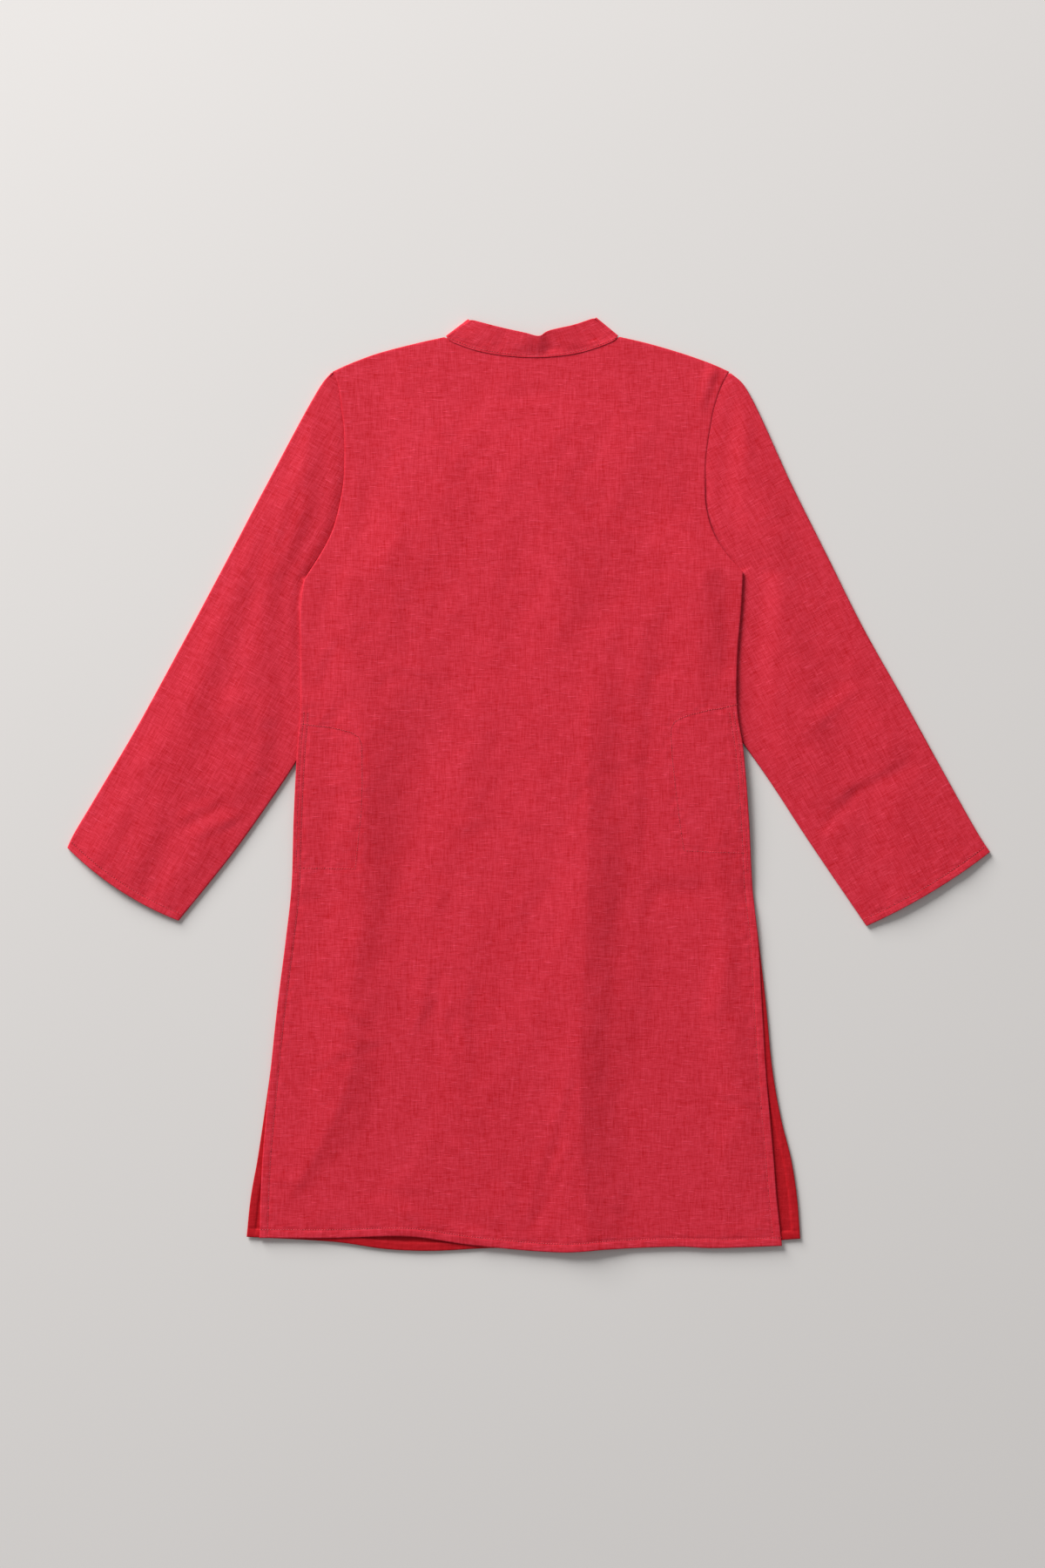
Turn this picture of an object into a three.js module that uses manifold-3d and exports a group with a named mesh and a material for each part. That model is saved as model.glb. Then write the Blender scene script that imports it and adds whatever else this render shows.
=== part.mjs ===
// A child's linen kurta laid flat on its front, with the back up and the collar towards +Y.
// Millimetres, +Z up. The origin is the middle of the garment's footprint, on the surface it lies on.
import * as THREE from 'three';
import { mergeVertices } from 'three/addons/utils/BufferGeometryUtils.js';
import Module from 'manifold-3d';

// Driving dimensions
const cloth = 1.0; // one layer of linen
const bandCloth = 1.4; // collar and placket: two layers with stiffening
const seamGap = 0.3; // clearance between neighbouring pieces, one above the other
const seamStep = 0.45; // clearance between neighbouring pieces, edge to edge
const hem = { width: 7, extra: 0.5, step: 0.7, clear: 6, fade: 14 }; // turned-in edges
const slit = { top: -97, room: 1.1, above: 20, ramp: 30 }; // where the side slits begin
const backLoft = { high: 2.7, side: 48, shoulder: 46, atHem: 0.35, hemFade: 120, clear: 4, fade: 22 };
const sleeveFold = 2.6; // thickness of a sleeve at its folded edges
const sleeveLoft = { high: 1.7, edge: 30, clear: 12, beside: 22, seam: 12 }; // how its layers part
const cuffStart = 0.7; // share of the inner fold above the stretch that rounds out to the cuff
const tuck = { rise: 2.9, full: 26, gone: 60, top: 168, ramp: 20, bottom: 10, fall: 35 };
const collar = { height: 25, foldGap: 0.6, stand: 1.9, seat: 1.8, opening: 1.2 };
const collarSpace = { reach: 74, fade: 26, below: 40 }; // where the back clears its front half
const placket = { centre: 3.6, width: 26, top: 300.1, bottom: 70, fade: 20 };
const button = { radius: 5.5, thick: 2, edge: 0.6, holes: 4, holeRadius: 0.8, holeCircle: 1.8 };
const buttonPlaces = [270, 205, 140]; // heights of the buttons on the placket
const buttonHump = { top: 7, foot: 30 }; // the cloth rises over a button between these radii
const pocketBag = { inset: 1.5, room: 1.4, margin: 16, fade: 24 };

// Colours and finishes
const linenRed = { color: 0xc7313f, roughness: 0.85, metalness: 0 };
const buttonRed = { color: 0xa8222f, roughness: 0.4, metalness: 0 };

// The armholes, from the shoulder tip down. x is given on either side.
const armholeRows = [
  { y: 336.4, left: -160.0, right: 163.6 },
  { y: 326.0, left: -155.5, right: 157.8 },
  { y: 308.0, left: -152.9, right: 151.5 },
  { y: 290.0, left: -150.7, right: 148.0 },
  { y: 268.0, left: -150.2, right: 144.8 },
  { y: 246.0, left: -151.2, right: 144.1 },
  { y: 226.0, left: -154.6, right: 144.9 },
  { y: 206.0, left: -160.3, right: 150.4 },
  { y: 189.0, left: -168.9, right: 160.4 },
];
const underarm = { left: { x: -183.2, y: 166.5 }, right: { x: 174.7, y: 172.9 } };

// The body's edges from underarm to hem. The front spreads wider than the back below the slits.
const bodyRows = [
  { y: 146, backLeft: -186.0, backRight: 173.3, frontLeft: -186.0, frontRight: 173.3 },
  { y: 100, backLeft: -186.0, backRight: 169.8, frontLeft: -186.0, frontRight: 169.8 },
  { y: 60, backLeft: -186.0, backRight: 170.0, frontLeft: -186.0, frontRight: 170.0 },
  { y: 30, backLeft: -188.5, backRight: 174.8, frontLeft: -188.5, frontRight: 174.8 },
  { y: -28, backLeft: -191.5, backRight: 179.6, frontLeft: -191.5, frontRight: 179.6 },
  { y: -84, backLeft: -193.4, backRight: 182.6, frontLeft: -193.4, frontRight: 182.6 },
  { y: -127, backLeft: -198.1, backRight: 187.2, frontLeft: -198.1, frontRight: 187.6 },
  { y: -181, backLeft: -204.9, backRight: 190.4, frontLeft: -204.8, frontRight: 193.8 },
  { y: -233, backLeft: -210.4, backRight: 193.5, frontLeft: -210.6, frontRight: 198.9 },
  { y: -273, backLeft: -214.2, backRight: 197.0, frontLeft: -216.2, frontRight: 206.0 },
  { y: -306, backLeft: -217.0, backRight: 199.9, frontLeft: -221.2, frontRight: 214.2 },
  { y: -337, backLeft: -218.5, backRight: 202.3, frontLeft: -226.7, frontRight: 219.0 },
];

// The hems, from the left slit to the right slit
const hemRows = {
  back: [{ x: -219.4, y: -369.6 }, { x: -159, y: -369.6 }, { x: -97, y: -368.5 },
    { x: -48, y: -375.2 }, { x: 27, y: -381.2 }, { x: 66, y: -378.8 }, { x: 123, y: -376.8 },
    { x: 149, y: -377.8 }, { x: 206.6, y: -376.0 }],
  front: [{ x: -230.0, y: -368.8 }, { x: -156, y: -373.1 }, { x: -116, y: -378.8 },
    { x: -78, y: -380.2 }, { x: -32, y: -378.0 }, { x: 40, y: -378.4 }, { x: 130, y: -376.4 },
    { x: 221.5, y: -370.3 }],
};

// Shoulder lines from the neck to the tip, and the necklines from left to right
const shoulderRows = {
  left: [{ x: -68.9, y: 364.6 }, { x: -91, y: 359.7 }, { x: -123.5, y: 351.2 },
    { x: -146.3, y: 342.7 }, { x: -160.0, y: 336.4 }],
  right: [{ x: 74.5, y: 364.8 }, { x: 96.6, y: 359.7 }, { x: 125.7, y: 351.2 },
    { x: 149.8, y: 342.6 }, { x: 163.6, y: 336.4 }],
};
const necklineRows = {
  back: [{ x: -68.9, y: 364.6 }, { x: -43.3, y: 355.2 }, { x: -16.3, y: 350.5 },
    { x: 11.7, y: 349.6 }, { x: 36.6, y: 352.2 }, { x: 55.2, y: 357.2 }, { x: 74.5, y: 364.8 }],
  front: [{ x: -68.9, y: 364.6 }, { x: -49.5, y: 330.5 }, { x: -26.5, y: 307.5 },
    { x: 3.6, y: 300.2 }, { x: 33.5, y: 307.5 }, { x: 55.5, y: 330.5 }, { x: 74.5, y: 364.8 }],
};

// The collar's upper edge along the back, from one folded end to the other
const collarTopRows = [{ x: -49.2, y: 379.5 }, { x: -26.3, y: 373.4 }, { x: -3.0, y: 368.0 },
  { x: 8.9, y: 365.4 }, { x: 14.9, y: 369.2 }, { x: 36.6, y: 374.6 }, { x: 55.0, y: 380.9 }];

// Sleeve edges: the outer fold from shoulder to cuff, and the inner fold from underarm to cuff.
// armholeShare is the part of the outer fold that runs beside the armhole.
const sleeveRows = {
  left: {
    outer: [{ x: -162.6, y: 334.6 }, { x: -168.3, y: 327 }, { x: -215.1, y: 241.8 },
      { x: -244.9, y: 185 }, { x: -290.4, y: 99.8 }, { x: -321.6, y: 43 }, { x: -355.2, y: -13.8 },
      { x: -371.6, y: -41.5 }, { x: -376.3, y: -51.5 }],
    inner: [{ x: -183.9, y: 165.8 }, { x: -187.6, y: 150 }, { x: -187.0, y: 139 },
      { x: -177.0, y: 113 }, { x: -169.0, y: 86 }, { x: -170.0, y: 62 }, { x: -178.0, y: 38 },
      { x: -188.4, y: 20 }, { x: -210.9, y: -13.8 }, { x: -241.4, y: -56.4 }, { x: -285.4, y: -111.1 }],
    cuffBulge: 5.6,
    armholeShare: 0.37,
  },
  right: {
    outer: [{ x: 166.6, y: 333.8 }, { x: 175.4, y: 325.8 }, { x: 215.8, y: 241.8 },
      { x: 244.2, y: 185 }, { x: 272.6, y: 128.2 }, { x: 304.6, y: 71.4 }, { x: 335.8, y: 14.6 },
      { x: 367.8, y: -42.2 }, { x: 376.3, y: -55 }],
    inner: [{ x: 175.4, y: 172.2 }, { x: 176.0, y: 156 }, { x: 174.2, y: 143 }, { x: 164.0, y: 118 },
      { x: 155.5, y: 94 }, { x: 155.5, y: 70 }, { x: 164.0, y: 48 }, { x: 175.2, y: 33 },
      { x: 198.1, y: 0.4 }, { x: 225.8, y: -42.2 }, { x: 275.5, y: -115.4 }],
    cuffBulge: 3.4,
    armholeShare: 0.34,
  },
};

// Pocket bags: height of the bag at the side seam, and the far edge of the bag level with it
const pocketRows = {
  left: [{ mouth: 48.4, x: -146.0, y: 41.8 }, { mouth: 41, x: -138.2, y: 37.4 },
    { mouth: 31, x: -135.6, y: 30.5 }, { mouth: -5, x: -135.6, y: -5 },
    { mouth: -36, x: -137.7, y: -36 }, { mouth: -68.2, x: -141.3, y: -67.8 }],
  right: [{ mouth: 64.8, x: 125.0, y: 55.0 }, { mouth: 56, x: 117.0, y: 50.5 },
    { mouth: 46, x: 115.6, y: 42 }, { mouth: 12, x: 118.8, y: 11 },
    { mouth: -22, x: 122.6, y: -22 }, { mouth: -55.4, x: 126.4, y: -53.8 }],
};

// Large soft folds of the back: from one place to another, how wide and how high.
// A negative height is a trough.
const backFolds = [
  { x0: 30, y0: 240, x1: 30, y1: -372, wide: 40, high: 0.8 },
  { x0: 78, y0: -60, x1: 76, y1: -372, wide: 54, high: -1.1 },
  { x0: -36, y0: 320, x1: -26, y1: 90, wide: 46, high: -0.6 },
  { x0: 140, y0: 300, x1: 132, y1: 60, wide: 40, high: 0.5 },
  { x0: -118, y0: -60, x1: -128, y1: -205, wide: 46, high: -1.2 },
  { x0: -128, y0: -205, x1: -178, y1: -316, wide: 42, high: -1.0 },
  { x0: -204, y0: -324, x1: -98, y1: -324, wide: 34, high: 0.9 },
  { x0: -50, y0: -210, x1: -20, y1: -280, wide: 36, high: -0.7 },
  { x0: 36, y0: -245, x1: 4, y1: -350, wide: 36, high: -0.7 },
  { x0: -62, y0: -300, x1: -33, y1: -344, wide: 34, high: 0.7 },
  { x0: 112, y0: -256, x1: 182, y1: -262, wide: 34, high: -0.8 },
  { x0: 118, y0: -192, x1: 138, y1: -214, wide: 32, high: 0.7 },
];

// Soft folds of the sleeves, along and across them
const sleeveFolds = [
  { x0: -218, y0: 186, x1: -312, y1: -86, wide: 30, high: -0.7 },
  { x0: -229, y0: -22, x1: -262, y1: -14, wide: 26, high: -0.6 },
  { x0: -196, y0: 52, x1: -236, y1: 66, wide: 28, high: 0.6 },
  { x0: 208, y0: 212, x1: 238, y1: 70, wide: 30, high: -0.7 },
  { x0: 238, y0: 70, x1: 270, y1: -72, wide: 28, high: -0.6 },
  { x0: 226, y0: -36, x1: 310, y1: 16, wide: 26, high: -0.7 },
  { x0: 236, y0: 50, x1: 262, y1: 70, wide: 26, high: 0.5 },
];

// How finely the pieces are divided. Pieces that meet share the divisions of the seam.
const divisions = {
  armhole: 8, besideSleeve: 0.37, underarmStep: 18, bodyStep: 30, shoulder: 6, backNeck: 8, frontNeck: 10,
  sleeveLength: 14, sleeveAcross: 5, collarBack: 16, collarHigh: 3, placketAcross: 4, placketLong: 21,
};

// Small helpers

const clamp01 = (t) => Math.min(1, Math.max(0, t));
const smooth = (t) => clamp01(t) ** 2 * (3 - 2 * clamp01(t));
const mix = (a, b, t) => a + (b - a) * t;
const flat = ({ x, y }) => new THREE.Vector3(x, y, 0);
const curveThrough = (places) => new THREE.CatmullRomCurve3(places.map(flat), false, 'centripetal');
const stepsOf = (count, from = 0, to = 1) => (
  Array.from({ length: count + 1 }, (_, i) => mix(from, to, i / count)));
const raised = (spot, z) => new THREE.Vector3(spot.x, spot.y, z);

// A column of a table, read at a place between its rows
function readColumn(rows, key, place, column) {
  const rising = rows.at(-1)[key] > rows[0][key];
  let k = 1;
  while (k < rows.length - 1 && (rising ? rows[k][key] < place : rows[k][key] > place)) k += 1;
  const [from, to] = [rows[k - 1], rows[k]];
  return mix(from[column], to[column], clamp01((place - from[key]) / (to[key] - from[key])));
}

// How far a soft ridge or trough lifts the cloth at a place. It dies away around its line.
function foldAt(fold, x, y) {
  const [dx, dy] = [fold.x1 - fold.x0, fold.y1 - fold.y0];
  const along = clamp01(((x - fold.x0) * dx + (y - fold.y0) * dy) / (dx * dx + dy * dy));
  const away = Math.hypot(x - fold.x0 - along * dx, y - fold.y0 - along * dy);
  return fold.high * Math.exp(-((2.4 * away / fold.wide) ** 2));
}
const foldsAt = (folds, x, y) => folds.reduce((sum, fold) => sum + foldAt(fold, x, y), 0);

// One curve made of several, each with its share of the range 0 to 1
function chain(...pieces) {
  return (t) => {
    let start = 0;
    for (const { share, curve } of pieces) {
      if (t <= start + share + 1e-9) return curve.getPointAt(clamp01((t - start) / share));
      start += share;
    }
    return pieces.at(-1).curve.getPointAt(1);
  };
}

// A grid of places filling the space between four edge curves
function fillBetween(top, bottom, left, right, across, down) {
  return down.map((v) => across.map((u) => {
    const spot = top(u).multiplyScalar(1 - v).addScaledVector(bottom(u), v);
    spot.addScaledVector(left(v), 1 - u).addScaledVector(right(v), u);
    spot.addScaledVector(top(0), (u - 1) * (1 - v)).addScaledVector(top(1), -u * (1 - v));
    return spot.addScaledVector(bottom(0), (u - 1) * v).addScaledVector(bottom(1), -u * v);
  }));
}

function signedVolume(positions, index) {
  const corner = (k) => new THREE.Vector3().fromArray(positions, 3 * index[k]);
  let total = 0;
  for (let k = 0; k < index.length; k += 3) total += corner(k).dot(corner(k + 1).cross(corner(k + 2)));
  return total / 6;
}

// The closed body between two grids of points, outer and inner, each a list of rows. From row
// joinedFrom on, a row's first and last points are one, so that the wall closes to a tube.
function wall(outer, inner, joinedFrom = Infinity) {
  const [lastRow, last] = [outer.length - 1, outer[0].length - 1];
  const positions = [];
  const index = [];
  const [out, into] = [outer, inner].map((side) => side.map((row, i) => {
    const numbers = row.map((spot, j) => {
      if (j === last && i >= joinedFrom) return -1;
      positions.push(spot.x, spot.y, spot.z);
      return positions.length / 3 - 1;
    });
    if (i >= joinedFrom) numbers[last] = numbers[0];
    return numbers;
  }));
  const quad = (a, b, c, d) => index.push(a, b, c, a, c, d);
  for (let i = 0; i < lastRow; i += 1) {
    for (let j = 0; j < last; j += 1) {
      quad(out[i][j], out[i + 1][j], out[i + 1][j + 1], out[i][j + 1]);
      quad(into[i][j], into[i][j + 1], into[i + 1][j + 1], into[i + 1][j]);
    }
    if (i < joinedFrom) {
      quad(out[i][0], into[i][0], into[i + 1][0], out[i + 1][0]);
      quad(out[i][last], out[i + 1][last], into[i + 1][last], into[i][last]);
    }
  }
  for (let j = 0; j < last; j += 1) {
    quad(out[0][j], out[0][j + 1], into[0][j + 1], into[0][j]);
    quad(out[lastRow][j], into[lastRow][j], into[lastRow][j + 1], out[lastRow][j + 1]);
  }
  const geometry = new THREE.BufferGeometry();
  geometry.setAttribute('position', new THREE.Float32BufferAttribute(positions, 3));
  geometry.setIndex(signedVolume(positions, index) > 0 ? index : index.reverse());
  return geometry;
}

// Joining and cutting closed meshes

const wasm = await Module();
wasm.setup();

function toSolid(geometry) {
  const bare = geometry.clone();
  bare.deleteAttribute('normal');
  bare.deleteAttribute('uv');
  const merged = mergeVertices(bare, 1e-4);
  const vertProperties = new Float32Array(merged.attributes.position.array);
  const triVerts = new Uint32Array(merged.index.array);
  return new wasm.Manifold(new wasm.Mesh({ numProp: 3, vertProperties, triVerts }));
}

function toGeometry(solid) {
  const mesh = solid.getMesh();
  const geometry = new THREE.BufferGeometry();
  geometry.setAttribute('position', new THREE.Float32BufferAttribute(mesh.vertProperties, 3));
  geometry.setIndex([...mesh.triVerts]);
  return geometry;
}

// The body's outline

// Shares of the outline: a shoulder and the neck along the top, an armhole down the side
const outlineShares = { shoulder: 0.28, neck: 0.44, armhole: 0.26 };

const sides = ['left', 'right'];
const capital = (word) => word[0].toUpperCase() + word.slice(1);

// Rows of y and x down one side of a panel, from the shoulder tip to the hem
function sideRows(panel, side) {
  const corner = hemRows[panel].at(side === 'left' ? 0 : -1);
  return {
    armhole: [...armholeRows.map((row) => ({ x: row[side], y: row.y })), underarm[side]],
    below: [underarm[side], ...bodyRows.map((row) => ({ x: row[panel + capital(side)], y: row.y })), corner],
  };
}

const edgeTables = Object.fromEntries(sides.map((side) => {
  const { armhole, below } = sideRows('front', side);
  return [side, [...armhole, ...below.slice(1)]];
}));
const topTable = [...shoulderRows.left.toReversed(), ...necklineRows.back.slice(1),
  ...shoulderRows.right.slice(1)];

// How far inside the body's side edges a place lies. It is negative beside the body.
const insideSides = (x, y) => Math.min(
  x - readColumn(edgeTables.left, 'y', y, 'x'), readColumn(edgeTables.right, 'y', y, 'x') - x);
const belowTop = (x, y) => readColumn(topTable, 'x', x, 'y') - y;

// Heights of the layers

// The front lies on the tucked-in part of either sleeve, and on its buttons
function tuckRise(x, y) {
  const beside = 1 - smooth((insideSides(x, y) - tuck.full) / (tuck.gone - tuck.full));
  const below = smooth((tuck.top - y) / tuck.ramp);
  const above = smooth((y - tuck.bottom + tuck.fall) / tuck.fall);
  return tuck.rise * beside * below * above;
}

function buttonRise(x, y) {
  const away = Math.min(...buttonPlaces.map((place) => Math.hypot(x - placket.centre, y - place)));
  const share = 1 - smooth((away - buttonHump.top) / (buttonHump.foot - buttonHump.top));
  return (button.thick + seamGap) * share;
}

const frontUnder = (x, y) => tuckRise(x, y) + buttonRise(x, y);

// Room that the back leaves above the front: for the pocket bags, the turned-in hems, the
// collar's front half and the placket
function pocketRoom(x, y) {
  const rows = pocketRows[x < 0 ? 'left' : 'right'];
  const far = Math.min(...rows.map((row) => Math.abs(row.x)));
  const away = Math.max(far - Math.abs(x), y - rows[0].mouth, rows.at(-1).mouth - y, 0);
  return pocketBag.room * (1 - smooth((away - pocketBag.margin) / pocketBag.fade));
}

const hemRoom = (y) => slit.room * smooth((slit.top + slit.above - y) / slit.ramp);

function collarRoom(x, y) {
  const beside = 1 - smooth((Math.abs(x - placket.centre) - collarSpace.reach) / collarSpace.fade);
  const below = 1 - smooth((placket.top - y) / collarSpace.below);
  return (bandCloth + collar.foldGap - cloth - seamGap) * beside * below;
}

function placketRoom(x, y) {
  const stripe = 1 - smooth((Math.abs(x - placket.centre) - placket.width / 2) / placket.fade);
  return buttonRise(x, y) + (bandCloth - cloth) * stripe;
}

function backUnder(x, y) {
  const inner = smooth(insideSides(x, y) / backLoft.side) * smooth(belowTop(x, y) / backLoft.shoulder);
  const nearHem = mix(backLoft.atHem, 1, smooth((y - hemRows.back[0].y) / backLoft.hemFade));
  const folds = foldsAt(backFolds, x, y) * smooth((insideSides(x, y) - backLoft.clear) / backLoft.fade);
  const loft = backLoft.high * inner * nearHem + folds;
  const room = Math.max(loft, pocketRoom(x, y), hemRoom(y), collarRoom(x, y), placketRoom(x, y));
  return cloth + seamGap + tuckRise(x, y) + room;
}

// Underside of a sleeve's upper layer. fromFold and fromBody are the distances to its two edges.
function sleeveUnder(x, y, fromFold, fromBody, atArmhole) {
  const edgeGap = sleeveFold - 2 * cloth;
  const gap = atArmhole ? mix(seamGap, edgeGap, smooth(fromBody / sleeveLoft.seam)) : edgeGap;
  const free = smooth((-insideSides(x, y) - sleeveLoft.clear) / sleeveLoft.beside);
  const share = smooth(fromFold / sleeveLoft.edge) * smooth(fromBody / sleeveLoft.edge) * free;
  return cloth + gap + share * (sleeveLoft.high + foldsAt(sleeveFolds, x, y));
}

// Pieces

// Where a grid is divided down the body. The armhole's rows come first.
function bodyDivisions(length, armholeShare) {
  const share = divisions.besideSleeve;
  const fine = stepsOf(Math.round(share * length / divisions.underarmStep), 0, share);
  const coarse = stepsOf(Math.round((1 - share) * length / divisions.bodyStep), share, 1).slice(1, -1);
  const ends = [1 - (hem.width + hem.step) / length, 1 - hem.width / length, 1];
  const below = [...fine, ...coarse, ...ends].map((t) => mix(armholeShare, 1, t));
  return [...stepsOf(divisions.armhole, 0, armholeShare).slice(0, -1), ...below];
}

// The plan of a panel: a grid of places between the shoulders, the neckline, the sides and the hem
function panelPlan(panel) {
  const shares = outlineShares;
  const shoulders = sides.map((side) => curveThrough(shoulderRows[side]));
  const fromLeftTip = curveThrough(shoulderRows.left.toReversed());
  const top = chain({ share: shares.shoulder, curve: fromLeftTip },
    { share: shares.neck, curve: curveThrough(necklineRows[panel]) },
    { share: shares.shoulder, curve: shoulders[1] });
  const edges = sides.map((side) => {
    const { armhole, below } = sideRows(panel, side);
    return chain({ share: shares.armhole, curve: curveThrough(armhole) },
      { share: 1 - shares.armhole, curve: curveThrough(below) });
  });
  const bottom = chain({ share: 1, curve: curveThrough(hemRows[panel]) });
  const width = hemRows[panel].at(-1).x - hemRows[panel][0].x;
  const neck = stepsOf(divisions[`${panel}Neck`], shares.shoulder, 1 - shares.shoulder);
  const shoulder = stepsOf(divisions.shoulder, 0, shares.shoulder).slice(1, -1);
  const band = [0, hem.width / width, (hem.width + hem.step) / width];
  const leftPart = [...band, ...shoulder];
  const across = [...leftPart, ...neck, ...leftPart.map((u) => 1 - u).reverse()];
  const down = bodyDivisions(curveThrough(sideRows(panel, 'left').below).getLength(), shares.armhole);
  return { places: fillBetween(top, bottom, edges[0], edges[1], across, down), columns: across.length };
}

// How much thicker the turned-in edges make a panel at a place of its grid
function hemThickness(plan, i, j) {
  const [rows, columns] = [plan.places.length, plan.columns];
  const atBottom = i >= rows - 2;
  const atSlit = (j <= 1 || j >= columns - 2) && plan.places[i][j].y < slit.top;
  return atBottom || atSlit ? hem.extra : 0;
}

function frontPanel() {
  const plan = panelPlan('front');
  const under = plan.places.map((row) => row.map((p) => raised(p, frontUnder(p.x, p.y))));
  const upper = under.map((row, i) => row.map((p, j) => raised(p, p.z + cloth + hemThickness(plan, i, j))));
  const long = placket.top - placket.bottom + 2 * hem.width;
  const slot = new THREE.BoxGeometry(placket.width + 2 * seamGap, long, 20);
  slot.translate(placket.centre, placket.bottom - seamGap + long / 2, 0);
  return toGeometry(toSolid(wall(upper, under)).subtract(toSolid(slot)));
}

const backPlan = panelPlan('back');
const backUnderside = backPlan.places.map((row) => row.map((p) => raised(p, backUnder(p.x, p.y))));

function backPanel() {
  const upper = backUnderside.map((row) => row.map((p) => raised(p, p.z + cloth)));
  const under = backUnderside.map((row, i) => row.map((p, j) => (
    raised(p, p.z - hemThickness(backPlan, i, j)))));
  return wall(upper, under);
}

// A pocket bag is one layer of cloth made from the back's underside, moved down and cut to shape
function pocketBagPiece(side) {
  const sheet = (drop) => backUnderside.map((row) => row.map((p) => raised(p, p.z - drop)));
  const layer = toSolid(wall(sheet(seamGap), sheet(seamGap + cloth)));
  const rows = pocketRows[side];
  const inward = side === 'left' ? 1 : -1;
  const mouths = rows.map((row) => new THREE.Vector2(
    readColumn(edgeTables[side], 'y', row.mouth, 'x') + inward * pocketBag.inset, row.mouth));
  const farEdge = rows.map((row) => new THREE.Vector2(row.x, row.y));
  const outline = new THREE.Shape([...mouths, ...farEdge.toReversed()]);
  const prism = new THREE.ExtrudeGeometry(outline, { depth: 20, bevelEnabled: false });
  return toGeometry(layer.intersect(toSolid(prism)));
}

// A sleeve is a flattened tube from the armhole to the cuff. Beside the armhole its two layers
// are open towards the body; from the underarm down they are joined along the inner fold.
function sleevePiece(side) {
  const { outer, inner, cuffBulge, armholeShare } = sleeveRows[side];
  const outward = side === 'left' ? -1 : 1;
  const [foldCurve, innerCurve] = [curveThrough(outer), curveThrough(inner)];
  const armhole = curveThrough(sideRows('front', side).armhole);
  const rows = stepsOf(divisions.armhole).slice(0, -1).map((t, i) => {
    const body = armhole.getPointAt(t);
    const tangent = armhole.getTangentAt(t);
    if (i === 0) {
      tangent.copy(armhole.getPointAt(1 / divisions.armhole)).sub(body).normalize();
      body.addScaledVector(tangent, sleeveFold);
    }
    body.add(new THREE.Vector3(-tangent.y, tangent.x, 0).multiplyScalar(outward * seamStep));
    return { fold: foldCurve.getPointAt(t * armholeShare), body, down: 0, open: true };
  });
  const length = innerCurve.getLength();
  const cuffRows = [1 - (hem.width + hem.step) / length, 1 - hem.width / length, 1];
  for (const t of [...stepsOf(divisions.sleeveLength).slice(0, -1), ...cuffRows]) {
    const fold = foldCurve.getPointAt(mix(armholeShare, 1, t));
    rows.push({ fold, body: innerCurve.getPointAt(t), down: t, open: false });
  }
  const half = sleeveFold / 2;
  const bends = [Math.PI / 2, Math.PI / 4, 0];
  const along = stepsOf(divisions.sleeveAcross).slice(1, -1);
  const axis = foldCurve.getTangentAt(1);
  const build = (inside) => rows.map(({ fold, body, down, open }) => {
    const width = fold.distanceTo(body);
    const bulge = cuffBulge * smooth((down - cuffStart) / (1 - cuffStart));
    const thick = inside ? cloth : 0;
    const cuff = down > 1 - (hem.width + 0.5 * hem.step) / length ? hem.extra : 0;
    const spotAt = (a) => fold.clone().lerp(body, a / width).addScaledVector(
      axis, bulge * 4 * (a / width) * (1 - a / width));
    const layer = (a, upper) => {
      const spot = spotAt(a);
      const turned = inside ? cuff * smooth((Math.min(a, width - a) - hem.clear) / hem.fade) : 0;
      const under = sleeveUnder(spot.x, spot.y, a, width - a, open);
      return raised(spot, upper ? under + cloth - thick - turned : thick + turned);
    };
    const bend = (angle, upper, atBody) => {
      const reach = half - (half - thick) * Math.cos(angle);
      const a = atBody ? width - reach : reach;
      if (open && atBody) return layer(width - (half - half * Math.cos(angle)), upper);
      return raised(spotAt(a), half + (upper ? 1 : -1) * (half - thick) * Math.sin(angle));
    };
    const spread = (t) => mix(half, width - half, t);
    return [
      ...bends.toReversed().map((angle) => bend(angle, true, true)),
      ...along.toReversed().map((t) => layer(spread(t), true)),
      ...bends.map((angle) => bend(angle, true, false)),
      ...bends.toReversed().slice(1).map((angle) => bend(angle, false, false)),
      ...along.map((t) => layer(spread(t), false)),
      ...bends.map((angle) => bend(angle, false, true)),
    ];
  });
  return wall(build(false), build(true), divisions.armhole);
}

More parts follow.
